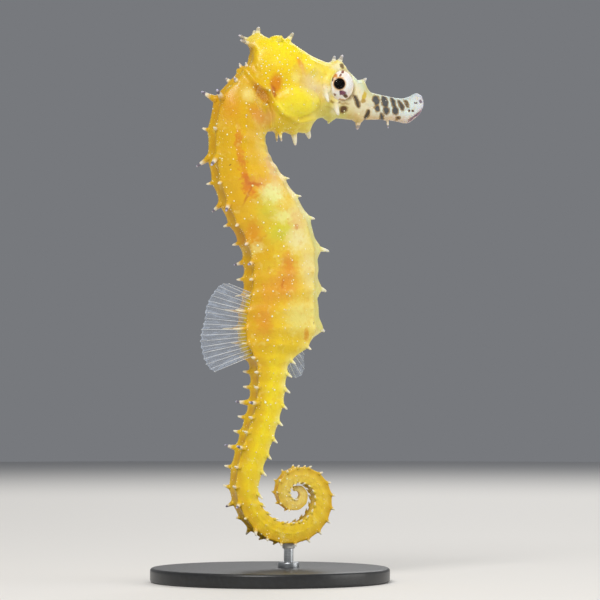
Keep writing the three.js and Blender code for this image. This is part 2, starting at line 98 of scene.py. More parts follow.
@dataclass(frozen=True)
class Coil:
    """Tail coil, whose middle line closes in on an inner circle turn by turn."""

    pole: Pair = (4.5, 14.55)
    inner_radius: float = 0.45
    start_radius: float = 8.98
    quarter_ratio: float = 0.685
    start_turn: float = -0.05
    half_depth: float = 2.0
    thinning: float = 0.22
    first_ring: int = 22
    pitch: float = 2.3
    pitch_ratio: float = 0.9694
    width_to_depth: float = 0.95

    def station(self, ring: int, turn: float) -> tuple[Station, float]:
        """Section of the coil after a turn counted in quarters.

        Args:
            ring: number of the ring that stands there.
            turn: quarters turned from the rear of the pole.

        Returns:
            The station and its distance from the pole.
        """
        closing = (self.start_radius - self.inner_radius) * self.quarter_ratio**turn
        radius = self.inner_radius + closing
        angle = math.pi + turn * QUARTER
        slope = -math.log(self.quarter_ratio) / QUARTER * closing
        out = angle - math.atan(slope / radius)
        half = self.half_depth - self.thinning * turn
        x = self.pole[0] + radius * math.cos(angle)
        z = self.pole[1] + radius * math.sin(angle)
        dx = half * math.cos(out)
        dz = half * math.sin(out)
        section = Station(ring, (x + dx, z + dz), (x - dx, z - dz), half * self.width_to_depth)
        return section, radius

    def stations(self, last_ring: int) -> list[Station]:
        """All sections of the coil, a ring's length apart, up to the last ring."""
        found = []
        turn = self.start_turn
        for ring in range(self.first_ring, last_ring + 1):
            section, radius = self.station(ring, turn)
            turn += self.pitch * self.pitch_ratio ** len(found) / radius / QUARTER
            found.append(section)
        return found


TRUNK_RINGS = 12
LAST_RING = 47
LIPS = -13.0
STATIONS = [
    Station(-13, (27.25, 80.35), (27.2, 79.3), 0.45),  # lips
    Station(-12.75, (27.2, 80.9), (27.05, 78.8), 0.85),
    Station(-12.4, (26.85, 81.3), (26.6, 78.2), 1.1),
    Station(-12, (26.3, 81.4), (26.0, 77.7), 1.25),  # mouth
    Station(-11, (25.0, 81.25), (24.5, 76.75), 1.35),  # jaw tip
    Station(-10, (23.3, 80.9), (22.8, 77.0), 1.2),  # snout waist
    Station(-9, (20.6, 81.3), (20.2, 77.3), 1.3),
    Station(-8, (17.0, 82.2), (16.5, 77.25), 1.7),  # snout root
    Station(-7, (15.2, 84.1), (14.5, 77.2), 2.1),  # brow
    Station(-6, (12.8, 86.0), (12.1, 77.4), 2.6),  # eyes
    Station(-5, (9.8, 86.8), (9.4, 77.5), 2.8),
    Station(-4, (7.2, 87.8), (7.4, 76.9), 3.3),  # cheek
    Station(-3, (5.3, 88.9), (5.9, 75.7), 3.8),  # gill cover
    Station(-2, (2.7, 90.3), (4.1, 75.2), 3.7),
    Station(-1, (-0.8, 90.4), (2.0, 75.0), 3.3),  # crown
    Station(-0.5, (-3.05, 89.1), (0.6, 75.1), 3.1),
    Station(0, (-3.55, 86.9), (-0.4, 75.0), 3.1),  # nape
    Station(0.5, (-6.1, 84.1), (-0.8, 74.5), 3.4),  # shoulder
    Station(1, (-9.1, 80.5), (-0.9, 73.8), 3.8),
    Station(3, (-10.1, 70.6), (0.1, 70.9), 3.9),
    Station(5, (-8.0, 62.9), (2.6, 67.3), 4.1),
    Station(7, (-4.7, 56.5), (6.9, 60.7), 4.4),
    Station(8, (-3.9, 53.3), (8.4, 55.6), 4.5),
    Station(10, (-4.0, 47.8), (8.5, 49.0), 4.5),
    Station(11, (-4.7, 45.1), (8.6, 45.7), 4.3),
    Station(12, (-5.0, 42.3), (8.9, 42.2), 3.9),  # last trunk ring
    Station(13, (-4.7, 39.8), (6.5, 39.2), 3.3),
    Station(14, (-3.4, 37.4), (3.0, 36.9), 2.7),
    Station(15, (-2.8, 35.0), (2.3, 34.7), 2.4),
    Station(17, (-3.1, 29.9), (1.6, 29.4), 2.3),
    Station(20, (-5.4, 22.4), (-1.0, 21.1), 2.1),
    Station(21, (-6.2, 19.2), (-2.0, 18.4), 2.0),
]
# Outlines of a section from mid back round one side to mid belly: depth and side.
TRUNK_PROFILE = [
    (0.88, 0.0), (1.0, 0.52), (0.62, 0.83), (0.12, 1.0),
    (-0.32, 0.93), (-0.7, 0.66), (-0.9, 0.32), (-1.0, 0.0),
]
TAIL_PROFILE = [
    (0.86, 0.0), (1.0, 0.9), (0.5, 0.95), (0.0, 0.96),
    (-0.5, 0.93), (-1.0, 0.8), (-0.95, 0.4), (-0.9, 0.0),
]
PROFILE_STEPS = len(TRUNK_PROFILE) - 1
HEAD_ROUNDNESS = 0.85
CRISPNESS = 0.4  # of the section's corners: 0 is a smooth curve, 1 a polygon
TRUNK_GROOVE = 0.022  # how far the plates dip between rings, of the body's size
TAIL_GROOVE = 0.035


def smoothstep(value: np.ndarray, low: float, high: float) -> np.ndarray:
    """Smooth rise from 0 at low to 1 at high."""
    share = np.clip((value - low) / (high - low), 0.0, 1.0)
    return share * share * (3 - 2 * share)


@dataclass(frozen=True)
class Section:
    """The body's frame at a run of places: middle, way to the back, half sizes."""

    middle: np.ndarray
    up: np.ndarray
    half_depth: np.ndarray
    half_width: np.ndarray


class BodyLine:
    """The line of the body from the lips to the tip of the tail."""

    def __init__(self) -> None:
        """Gathers the stations of the body and of the coil."""
        stations = STATIONS + Coil().stations(LAST_RING)
        self.at = np.array([s.at for s in stations])
        self.back = np.array([s.back for s in stations])
        self.belly = np.array([s.belly for s in stations])
        self.half = np.array([s.half for s in stations])

    def along(self, places: np.ndarray, values: np.ndarray) -> np.ndarray:
        """Smooth values through the stations.

        Args:
            places: places along the body, in rings.
            values: one number for each station.

        Returns:
            The value at each place, by cubic Hermite curves.
        """
        last = len(self.at) - 1
        ahead = np.minimum(np.arange(last + 1) + 1, last)
        behind = np.maximum(np.arange(last + 1) - 1, 0)
        slope = (values[ahead] - values[behind]) / (self.at[ahead] - self.at[behind])
        i = np.clip(np.searchsorted(self.at, places, side="right") - 1, 0, last - 1)
        span = self.at[i + 1] - self.at[i]
        t = (places - self.at[i]) / span
        return (
            (2 * t**3 - 3 * t**2 + 1) * values[i]
            + (t**3 - 2 * t**2 + t) * span * slope[i]
            + (3 * t**2 - 2 * t**3) * values[i + 1]
            + (t**3 - t**2) * span * slope[i + 1]
        )

    def section(self, places: np.ndarray) -> Section:
        """Frames of the sections at places along the body."""
        zero = np.zeros(len(places))
        ends = []
        for side in (self.back, self.belly):
            x = self.along(places, side[:, 0])
            z = self.along(places, side[:, 1])
            ends.append(np.stack([x, zero, z], axis=-1))
        up = ends[0] - ends[1]
        depth = np.linalg.norm(up, axis=-1)
        return Section(
            middle=(ends[0] + ends[1]) / 2,
            up=up / depth[:, None],
            half_depth=depth / 2,
            half_width=self.along(places, self.half),
        )

    def surface(self, places: np.ndarray, turns: np.ndarray) -> np.ndarray:
        """Points of the bare body.

        Args:
            places: n places along the body.
            turns: m turns round it: 0 mid back, 1 mid belly, 2 mid back again.

        Returns:
            An array of n by m points.
        """
        section = self.section(places)
        fold = 1 - np.abs(1 - turns)
        sign = np.where(turns <= 1, 1.0, -1.0)
        depth, side = section_outline(places, fold)
        size = 1 - groove_at(places)
        depth = depth * (section.half_depth * size)[:, None]
        side = side * sign[None, :] * (section.half_width * size)[:, None]
        points = section.middle[:, None, :] + depth[..., None] * section.up[:, None, :]
        points[..., 1] += side
        return points

    def point(self, place: float, corner: float, side: int) -> np.ndarray:
        """Point on one corner of the section at a place, on the side 1 or -1."""
        turn = corner / PROFILE_STEPS
        turns = np.array([turn if side > 0 else 2 - turn])
        return self.surface(np.array([place]), turns)[0, 0]

    def onward(self, place: float) -> np.ndarray:
        """Way along the body towards the tail at a place."""
        ends = self.section(np.array([place - 0.3, place + 0.3])).middle
        way = ends[1] - ends[0]
        return way / np.linalg.norm(way)


def smooth_curve(corners: np.ndarray, where: np.ndarray, crispness: float = 0.0) -> np.ndarray:
    """Points on a curve through corners.

    Args:
        corners: the corners, with one more before and after them that only steer the curve.
        where: places of the points, counted in corners.
        crispness: 0 for a smooth curve and 1 for the polygon of the corners.

    Returns:
        A row for each point.
    """
    i = np.clip(where.astype(int), 0, len(corners) - 4)
    t = (where - i)[:, None]
    p0, p1, p2, p3 = (corners[i + k] for k in range(4))
    straight = p1 + (p2 - p1) * t
    curved = 0.5 * (
        2 * p1 + (p2 - p0) * t + (2 * p0 - 5 * p1 + 4 * p2 - p3) * t**2
        + (3 * p1 - p0 - 3 * p2 + p3) * t**3
    )
    return crispness * straight + (1 - crispness) * curved


def corner_curve(profile: list[Pair], fold: np.ndarray) -> np.ndarray:
    """Depths and sides, in two rows, of a section's outline at shares of the way round one side."""
    corners = np.array(profile)
    padded = np.vstack([corners[1] * (1, -1), corners, corners[-2] * (1, -1)])
    return smooth_curve(padded, fold * PROFILE_STEPS, CRISPNESS).T


def section_outline(places: np.ndarray, fold: np.ndarray) -> tuple[np.ndarray, np.ndarray]:
    """Depth and side of the section outlines, where head, trunk and tail blend."""
    angle = math.pi * fold
    cosine = np.cos(angle)
    head = np.stack([
        np.sign(cosine) * np.abs(cosine) ** HEAD_ROUNDNESS,
        np.abs(np.sin(angle)) ** HEAD_ROUNDNESS,
    ])
    trunk = corner_curve(TRUNK_PROFILE, fold)
    tail = corner_curve(TAIL_PROFILE, fold)
    to_trunk = smoothstep(places, -1, 1.5)[:, None]
    to_tail = smoothstep(places, TRUNK_RINGS - 0.5, TRUNK_RINGS + 2.5)[:, None]
    outline = []
    for k in range(2):
        front = head[k][None, :] * (1 - to_trunk) + trunk[k][None, :] * to_trunk
        outline.append(front * (1 - to_tail) + tail[k][None, :] * to_tail)
    return outline[0], outline[1]


def groove_at(places: np.ndarray) -> np.ndarray:
    """How far the body dips at places between its rings, as a share of its size."""
    between = np.sin(math.pi * places) ** 2
    to_tail = smoothstep(places, TRUNK_RINGS - 0.5, TRUNK_RINGS + 1.5)
    depth = TRUNK_GROOVE + (TAIL_GROOVE - TRUNK_GROOVE) * to_tail
    return depth * between * smoothstep(places, 0.5, 1.5)


LINE = BodyLine()

# ------------------------------------------------------------------------- thorns


@dataclass(frozen=True)
class Thorn:
    """One thorn: the point it grows from, its tip and its radius at the root.

    Its foot flares by flare, dusk is how dark it is below the tip, glass how far its
    shaft turns from the skin's colour to a glassy white, and web how high the skin
    climbs above its root, in millimetres.
    """

    root: Point
    tip: Point
    radius: float
    pair: bool = False
    flare: float = 1.0
    dusk: float = 0.8
    glass: float = 0.85
    web: float = 0.25

    @property
    def length(self) -> float:
        """Length of the thorn."""
        return math.dist(self.root, self.tip)


@dataclass(frozen=True)
class ThornRow:
    """Lengths of the thorns of a ridge, how far they splay from the back, and their lean."""

    ridge: Ridge
    long: float
    short: float
    splay: float
    lean: float = 0.1


TRUNK_THORNS = [
    ThornRow(Ridge.SUPERIOR, 2.9, 1.3, 40),
    ThornRow(Ridge.LATERAL, 0.32, 0.24, 92),
    ThornRow(Ridge.INFERIOR, 0.3, 0.22, 135),
]
TAIL_THORNS = [
    ThornRow(Ridge.SUPERIOR, 2.5, 1.25, 36),
    ThornRow(Ridge.LATERAL, 0.3, 0.2, 90),
    ThornRow(Ridge.INFERIOR, 1.0, 0.95, 146, 0.45),
]
# Rings with long thorns: their share of the row's length, and their lean.
LONG_THORNS = {
    1: (1.0, 0.1), 3: (0.86, 0.6), 5: (0.7, 0.4), 8: (0.6, 0.2), 11: (0.85, -0.1), 12: (0.85, 0.1),
    17: (0.9, 0.1), 20: (0.8, 0.1), 23: (0.64, 0.55), 25: (0.54, 0.55),
}
FIN_RINGS = {10, 11, 12, 13}
FIN_SPLAY = 12.0
FIN_THINNING = 0.6  # of the radius of the thorns beside the dorsal fin
FIRST_BLUNT_RING = 24
BLUNT = 0.6  # of a short thorn's length
LAST_THORN_RING = 42
DUSKY_LENGTH = 1.3  # from which the thorns of the rings darken below the tip
DUSKY_RISE = 0.3  # further length over which they do
MOST_DUSK = 0.9
DUSKY_GLASS = 0.85
PLAIN_GLASS = 0.75
WEB = 0.22  # of a thorn's length
MOST_WEBBED = 1.5  # length of a thorn from which its web grows no higher
KEEL_LEAN = 0.3
KEEL_THORNS = {  # length, radius and web
    5: (0.8, 0.34, 0.2), 6: (0.8, 0.34, 0.2), 7: (1.0, 0.5, 0.35), 8: (2.1, 0.62, 0.9),
    10: (1.6, 0.66, 0.9), 12: (1.0, 0.6, 0.7),
}
HEAD_THORNS = [
    Thorn((11.7, 1.1, 86.1), (11.95, 2.0, 88.0), 0.72, True, 1.5, 0.55, web=1.4),  # over the eye
    Thorn((16.0, 0, 82.8), (16.95, 0, 84.4), 0.75, flare=1.7, dusk=0.4, web=1.5),  # nose
    Thorn((8.7, 2.9, 82.1), (8.9, 3.6, 80.0), 0.66, True, 1.5, 0.0, web=1.2),  # behind the eye
    Thorn((10.6, 2.4, 79.8), (11.1, 3.0, 77.9), 0.78, True, 1.5, 0.0, web=1.2),  # cheek
    Thorn((15.7, 0, 77.7), (15.85, 0, 75.6), 0.88, flare=1.3, dusk=0.6, glass=0.4, web=1.4),  # chin
    Thorn((10.6, 0, 77.9), (10.6, 0, 76.5), 0.6, flare=2.0, dusk=0.0, glass=0.3, web=1.3),  # jaw
    Thorn((6.2, 0, 76.0), (7.35, 0, 74.15), 0.95, flare=1.6, dusk=0.1, web=1.4),  # throat
    Thorn((4.0, 0, 75.7), (4.8, 0, 72.9), 0.85, flare=1.5, dusk=0.1, web=1.6),
    Thorn((1.5, 0.8, 75.1), (1.5, 1.2, 73.4), 0.42, True, 1.2, 0.5, 0.6, web=0.7),
    Thorn((20.9, 0, 77.4), (21.2, 0, 75.9), 0.3, flare=1.2, web=0.4),  # under the snout
    Thorn((-4.5, 1.4, 85.6), (-5.0, 1.6, 86.4), 0.45, True, 1.4, 0.4),  # neck
    Thorn((-6.3, 1.7, 83.2), (-7.2, 2.1, 83.8), 0.6, True, 1.4, 0.6, web=0.4),
    Thorn((-2.6, 0.4, 89.75), (-5.45, 0.5, 90.9), 0.62, flare=1.5, glass=0.6, dusk=0.6, web=2.1),  # rear
    Thorn((-2.6, -0.2, 89.4), (-5.4, -0.2, 90.0), 0.62, flare=1.4, glass=0.6, dusk=0.6, web=1.9),
    Thorn((-2.05, 0.7, 90.2), (-1.8, 1.5, 92.6), 0.95, flare=1.6, glass=0.6, dusk=0.5, web=1.9),  # left
    Thorn((-2.55, 0.7, 90.4), (-2.6, 1.2, 91.95), 0.68, flare=1.0, glass=0.6, dusk=0.3, web=1.1),
    Thorn((0.9, -0.9, 89.7), (0.9, -2.3, 90.9), 0.9, flare=1.3, dusk=0.0, glass=0.1, web=1.2),  # right
    Thorn((2.75, 0, 89.5), (3.9, 0, 91.75), 0.82, flare=1.4, glass=0.6, dusk=0.55, web=1.6),  # front
]


def row_length(row: ThornRow, ring: int) -> float:
    """Length of the thorns of a row at a ring."""
    if ring in LONG_THORNS:
        return row.long * LONG_THORNS[ring][0]
    if ring < FIRST_BLUNT_RING:
        return row.short
    share = LINE.section(np.array([float(ring)])).half_depth[0] / Coil.half_depth
    return BLUNT * row.short * min(1.0, 0.4 + 0.6 * share)


def thorn_radius(length: float) -> float:
    """Radius at its root of a thorn of a length."""
    return min(0.3 + 0.13 * length, 0.06 + 0.45 * length)


def ring_thorns(ring: int) -> list[Thorn]:
    """Thorns of every ridge of one ring."""
    up = LINE.section(np.array([float(ring)])).up[0]
    onward = LINE.onward(ring)
    thorns = []
    for row in TRUNK_THORNS if ring <= TRUNK_RINGS else TAIL_THORNS:
        length = row_length(row, ring)
        on_back = row.ridge is Ridge.SUPERIOR
        by_fin = on_back and ring in FIN_RINGS
        splay = math.radians(FIN_SPLAY if by_fin else row.splay)
        lean = LONG_THORNS[ring][1] if on_back and ring in LONG_THORNS else row.lean
        dusk = 0.0 if by_fin else float(np.clip((length - DUSKY_LENGTH) / DUSKY_RISE, 0, MOST_DUSK))
        for side in (1, -1):
            root = LINE.point(ring, row.ridge.value, side)
            tip = root + length * (math.cos(splay) * up + lean * onward)
            tip[1] += side * length * math.sin(splay)
            radius = thorn_radius(length) * (FIN_THINNING if by_fin else 1.0)
            thorns.append(Thorn(
                tuple(root), tuple(tip), radius, dusk=dusk,
                glass=DUSKY_GLASS if dusk > 0 else PLAIN_GLASS, web=WEB * min(length, MOST_WEBBED),
            ))
    if ring in KEEL_THORNS:
        length, radius, web = KEEL_THORNS[ring]
        root = LINE.point(ring, PROFILE_STEPS, 1)
        tip = root + length * (KEEL_LEAN * onward - up)
        thorns.append(Thorn(tuple(root), tuple(tip), radius, dusk=0.15, flare=1.8, web=web))
    return thorns


def all_thorns() -> list[Thorn]:
    """Every thorn of the animal, with the second of each pair."""
    thorns = []
    for thorn in HEAD_THORNS:
        thorns.append(thorn)
        if thorn.pair:
            (x, y, z), (tx, ty, tz) = thorn.root, thorn.tip
            thorns.append(replace(thorn, root=(x, -y, z), tip=(tx, -ty, tz)))
    for ring in range(1, LAST_THORN_RING + 1):
        thorns.extend(ring_thorns(ring))
    return thorns


# ------------------------------------------------------------------- mesh helpers


def linked(name: str, data: ID) -> Object:
    """Makes an object of some data and links it to the scene."""
    made = bpy.data.objects.new(name, data)
    bpy.context.scene.collection.objects.link(made)
    return made


def new_object(name: str, vertices: np.ndarray, faces: list, material: Material | None = None) -> Object:
    """Makes an object at the origin from points in millimetres.

    Args:
        name: the object's name.
        vertices: points, in millimetres.
        faces: vertex numbers of each face.
        material: finish of all its faces.

    Returns:
        The linked, smooth-shaded object.
    """
    mesh = bpy.data.meshes.new(name)
    mesh.from_pydata((np.asarray(vertices) * MM).tolist(), [], faces)
    mesh.shade_smooth()
    if material:
        mesh.materials.append(material)
    return linked(name, mesh)


def evaluated(source: Object, name: str) -> Object:
    """Keeps what an object's modifiers make of it as a new object with a plain mesh."""
    depsgraph = bpy.context.evaluated_depsgraph_get()
    mesh = bpy.data.meshes.new_from_object(
        source.evaluated_get(depsgraph), preserve_all_data_layers=True, depsgraph=depsgraph
    )
    mesh.name = name
    return linked(name, mesh)


def discard(*objects: Object) -> None:
    """Removes helper objects that aren't part of the model."""
    for helper in objects:
        bpy.data.objects.remove(helper)


def set_values(mesh: Mesh, name: str, values: np.ndarray) -> None:
    """Stores one number for each vertex as a named attribute."""
    layer = mesh.attributes.new(name, "FLOAT", "POINT")
    layer.data.foreach_set("value", np.asarray(values, np.float32).ravel())


def outward(obj: Object) -> None:
    """Turns all faces of a closed mesh outwards."""
    shell = bmesh.new()
    shell.from_mesh(obj.data)
    bmesh.ops.recalc_face_normals(shell, faces=shell.faces)
    shell.to_mesh(obj.data)
    shell.free()


def grid_faces(rows: int, columns: int, wrap: bool) -> np.ndarray:
    """Quads of a grid of vertices, closed round its columns if wrap is set."""
    across = columns if wrap else columns - 1
    i = np.arange(rows - 1)[:, None]
    j = np.arange(across)[None, :]
    k = (j + 1) % columns
    quads = [i * columns + j, i * columns + k, (i + 1) * columns + k, (i + 1) * columns + j]
    return np.stack(np.broadcast_arrays(*quads), axis=-1).reshape(-1, 4)


def shell_faces(rows: int, columns: int) -> list[list[int]]:
    """Faces of a closed shell: a grid of points, then a fan to one point at each end.

    Args:
        rows: rows of the grid.
        columns: points in each row, which closes on itself.

    Returns:
        Point numbers of each face; the two end points follow those of the grid.
    """
    ends = rows * columns
    last = ends - columns
    steps = [(j, (j + 1) % columns) for j in range(columns)]
    caps = [[ends, b, a] for a, b in steps] + [[ends + 1, last + a, last + b] for a, b in steps]
    return grid_faces(rows, columns, True).tolist() + caps


def lathe(profile: list[Pair], steps: int) -> tuple[np.ndarray, list]:
    """Vertices and faces of a closed shell turned about the z axis.

    The profile gives the radius and height of each ring, and its ends lie on the axis.
    """
    angles = np.arange(steps) * TURN / steps
    rings = profile[1:-1]
    points = [(r * math.cos(a), r * math.sin(a), h) for r, h in rings for a in angles]
    points += [(0, 0, profile[0][1]), (0, 0, profile[-1][1])]
    return np.array(points), shell_faces(len(rings), steps)


def settle(piece: Object, slot: str, *nodes: str) -> None:
    """Fixes a finished piece to the body and hides the solids it stands for."""
    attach(piece, BODY)
    if nodes:
        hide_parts(*nodes)
    log.info("%s: %d faces", piece.name, len(piece.data.polygons))


# ------------------------------------------------------------------- node writing


def rgb(code: str) -> Colour:
    """Linear colour of a screen colour written as six hex digits."""
    parts = [int(code[i:i + 2], 16) / 255 for i in (0, 2, 4)]
    linear = [c / 12.92 if c <= 0.04045 else ((c + 0.055) / 1.055) ** 2.4 for c in parts]
    return (*linear, 1.0)


class Graph:
    """Writes a node tree as expressions: each call adds a node and gives its output."""

    def __init__(self, tree: NodeTree) -> None:
        """Starts on a tree."""
        self.tree = tree

    def feed(self, socket: NodeSocket, value: object) -> None:
        """Links an input to a socket, or sets it to a plain value."""
        if isinstance(value, NodeSocket):
            self.tree.links.new(value, socket)
        else:
            socket.default_value = value

    def add(self, kind: str, inputs: dict | None = None, **settings: object) -> Node:
        """Adds a node.

        Args:
            kind: the node's type.
            inputs: values or sockets by the input's name or number.
            settings: the node's own properties.

        Returns:
            The node.
        """
        node = self.tree.nodes.new(kind)
        for key, value in settings.items():
            setattr(node, key, value)
        for key, value in (inputs or {}).items():
            self.feed(node.inputs[key], value)
        return node

    def math(self, operation: str, *values: object) -> NodeSocket:
        """Result of arithmetic on numbers."""
        return self.add("ShaderNodeMath", dict(enumerate(values)), operation=operation).outputs[0]

    def vector(self, operation: str, *values: object) -> NodeSocket:
        """Result of arithmetic on vectors."""
        node = self.add("ShaderNodeVectorMath", dict(enumerate(values)), operation=operation)
        return node.outputs["Value" if operation == "LENGTH" else "Vector"]

    def mix(self, share: object, first: object, second: object) -> NodeSocket:
        """Colour between two colours."""
        inputs = {0: share, 6: first, 7: second}
        return self.add("ShaderNodeMix", inputs, data_type="RGBA").outputs[2]

    def rise(self, value: object, low: object, high: object, top: float = 1.0) -> NodeSocket:
        """Smooth rise from 0 at low to top at high."""
        inputs = {"Value": value, "From Min": low, "From Max": high, "To Max": top}
        return self.add("ShaderNodeMapRange", inputs, interpolation_type="SMOOTHSTEP").outputs[0]

    def place(self, stretch: Point = (1.0, 1.0, 1.0)) -> NodeSocket:
        """Position in the object in millimetres, stretched along its axes."""
        metres = self.add("ShaderNodeTexCoord").outputs["Object"]
        return self.vector("MULTIPLY", metres, tuple(s / MM for s in stretch))

    def wander(self, place: object, noise: Node, reach: Point) -> NodeSocket:
        """Position that a noise shifts by up to half of reach each way."""
        centred = self.vector("SUBTRACT", noise.outputs["Color"], (0.5, 0.5, 0.5))
        return self.vector("ADD", place, self.vector("MULTIPLY", centred, reach))

    def bump(self, height: object, strength: float, depth: float) -> NodeSocket:
        """Normal of a surface that a height raises to a depth in millimetres."""
        inputs = {"Strength": strength, "Distance": depth * MM, "Height": height}
        return self.add("ShaderNodeBump", inputs).outputs[0]

    def noise(self, place: object, scale: float, detail: float = 2.0) -> Node:
        """Noise over a position in millimetres."""
        return self.add("ShaderNodeTexNoise", {"Vector": place, "Scale": scale, "Detail": detail})

    def value(self, name: str) -> NodeSocket:
        """Number stored on the mesh under a name."""
        return self.add("ShaderNodeAttribute", attribute_name=name).outputs["Fac"]

    def ramp(self, share: object, stops: list[tuple[float, Colour]]) -> NodeSocket:
        """Colour of a ramp with the given stops."""
        node = self.add("ShaderNodeValToRGB", {0: share})
        elements = node.color_ramp.elements
        for place, colour in stops[2:]:
            elements.new(place).color = colour
        for element, (place, colour) in zip(elements, stops):
            element.position = place
            element.color = colour
        return node.outputs[0]


def new_tree(
    name: str, kind: str, inputs: dict[str, str], outputs: dict[str, str]
) -> tuple[Graph, NodeOutputs]:
    """Starts a node group.

    Args:
        name: the group's name.
        kind: the type of its tree.
        inputs: kinds of its inputs by name, such as Float or Vector.
        outputs: kinds of its outputs by name.

    Returns:
        A graph on the new group, and the outputs of its input node.
    """
    tree = bpy.data.node_groups.new(name, kind)
    for way, sockets in (("INPUT", inputs), ("OUTPUT", outputs)):
        for label, value in sockets.items():
            tree.interface.new_socket(label, in_out=way, socket_type=f"NodeSocket{value}")
    graph = Graph(tree)
    return graph, graph.add("NodeGroupInput").outputs


def patch_group() -> NodeTree:
    """Mask of one oval patch of a pattern: 1 inside it and 0 outside."""
    kinds = {"Position": "Vector", "Centre": "Vector", "Reach": "Vector", "Turn": "Float",
             "Softness": "Float"}
    graph, given = new_tree("patch", "ShaderNodeTree", kinds, {"Mask": "Float"})
    offset = graph.vector("SUBTRACT", given["Position"], given["Centre"])
    turned = graph.add("ShaderNodeVectorRotate", {"Vector": offset, "Angle": given["Turn"]},
                       rotation_type="Y_AXIS").outputs[0]
    away = graph.vector("LENGTH", graph.vector("DIVIDE", turned, given["Reach"]))
    inner = graph.math("SUBTRACT", 1.0, given["Softness"])
    outer = graph.math("ADD", 1.0, given["Softness"])
    graph.add("NodeGroupOutput", {"Mask": graph.rise(away, outer, inner)})
    return graph.tree


def dots_group() -> NodeTree:
    """Mask of scattered round dots, of which only a share of the cells holds one."""
    kinds = {"Position": "Vector", "Spacing": "Float", "Radius": "Float", "Share": "Float"}
    graph, given = new_tree("dots", "ShaderNodeTree", kinds, {"Mask": "Float"})
    scale = graph.math("DIVIDE", 1.0, given["Spacing"])
    cells = graph.add("ShaderNodeTexVoronoi", {"Vector": given["Position"], "Scale": scale})
    reach = graph.math("DIVIDE", given["Radius"], given["Spacing"])
    away = graph.math("DIVIDE", cells.outputs["Distance"], reach)
    dot = graph.add("ShaderNodeMapRange", {"Value": away, "From Min": 0.6, "From Max": 1.1,
                                           "To Min": 1.0, "To Max": 0.0}).outputs[0]
    pick = graph.add("ShaderNodeSeparateColor", {0: cells.outputs["Color"]}).outputs[0]
    chosen = graph.math("LESS_THAN", pick, given["Share"])
    graph.add("NodeGroupOutput", {"Mask": graph.math("MULTIPLY", dot, chosen)})
    return graph.tree


PATCH = patch_group()
DOTS = dots_group()


def new_material(name: str) -> tuple[Material, Graph, Node]:
    """Makes a node material.

    Args:
        name: the material's name.

    Returns:
        The material, a graph on its tree, and its Principled shader.
    """
    material = bpy.data.materials.new(name)
    material.use_nodes = True
    return material, Graph(material.node_tree), material.node_tree.nodes["Principled BSDF"]


def connect(graph: Graph, shader: Node, **sockets: object) -> None:
    """Sets or links inputs of a shader, with _ for the spaces of their names."""
    for key, value in sockets.items():
        graph.feed(shader.inputs[key.replace("_", " ")], value)


# ------------------------------------------------------------------------- finishes


@dataclass(frozen=True)
class Band:
    """Ground colours of the body at a place: back, flank and belly."""

    at: float
    back: str
    flank: str
    belly: str


@dataclass(frozen=True)
class Patch:
    """An oval marking on the flanks, seen from the side, in millimetres."""

    at: Pair
    reach: Pair
    colour: str
    turn: float = 0.0
    share: float = 1.0
    soft: float = 0.45


BANDS = [
    Band(-13, "c4bfd2", "d6d2de", "c8b4c4"),
    Band(-11.5, "c6d2d6", "d4e0de", "dcccc4"),
    Band(-9, "c6d6cd", "d6e4dc", "e4cfaa"),
    Band(-8, "d2cd92", "dfd6b4", "dfc086"),
    Band(-7, "cfe0c6", "e6deb8", "dcc276"),
    Band(-6, "ece2a6", "ecdcb4", "d6ce70"),
    Band(-5, "f3e25c", "e8d078", "d6cc66"),
    Band(-4, "f5df2a", "ebc94a", "e6d85c"),
    Band(-2.5, "f7e416", "f4da1c", "ead448"),
    Band(-1, "f6e010", "eeca10", "e2c428"),
    Band(0, "dcb006", "e2ba0c", "e6c42c"),
    Band(1, "d4a808", "dcae06", "eed24c"),
    Band(3, "d8ac06", "e2b40a", "f0e26a"),
    Band(5, "deac08", "e8b818", "f0dc8c"),
    Band(7, "deae08", "e6cc34", "ece896"),
    Band(9, "dcac0c", "eac830", "f2e890"),
    Band(11, "dcaa0e", "ecc426", "f2e882"),
    Band(13, "dcae0e", "ecca1a", "ece284"),
    Band(15, "dcb206", "efd61a", "ece48e"),
    Band(19, "deb806", "f0d812", "ece27a"),
    Band(22, "deb60a", "eecf14", "ead85e"),
    Band(26, "dcae0e", "eecb18", "eac62c"),
    Band(34, "d8b01a", "e8c834", "e6ca48"),
    Band(47, "e2c454", "ead278", "ead278"),
]
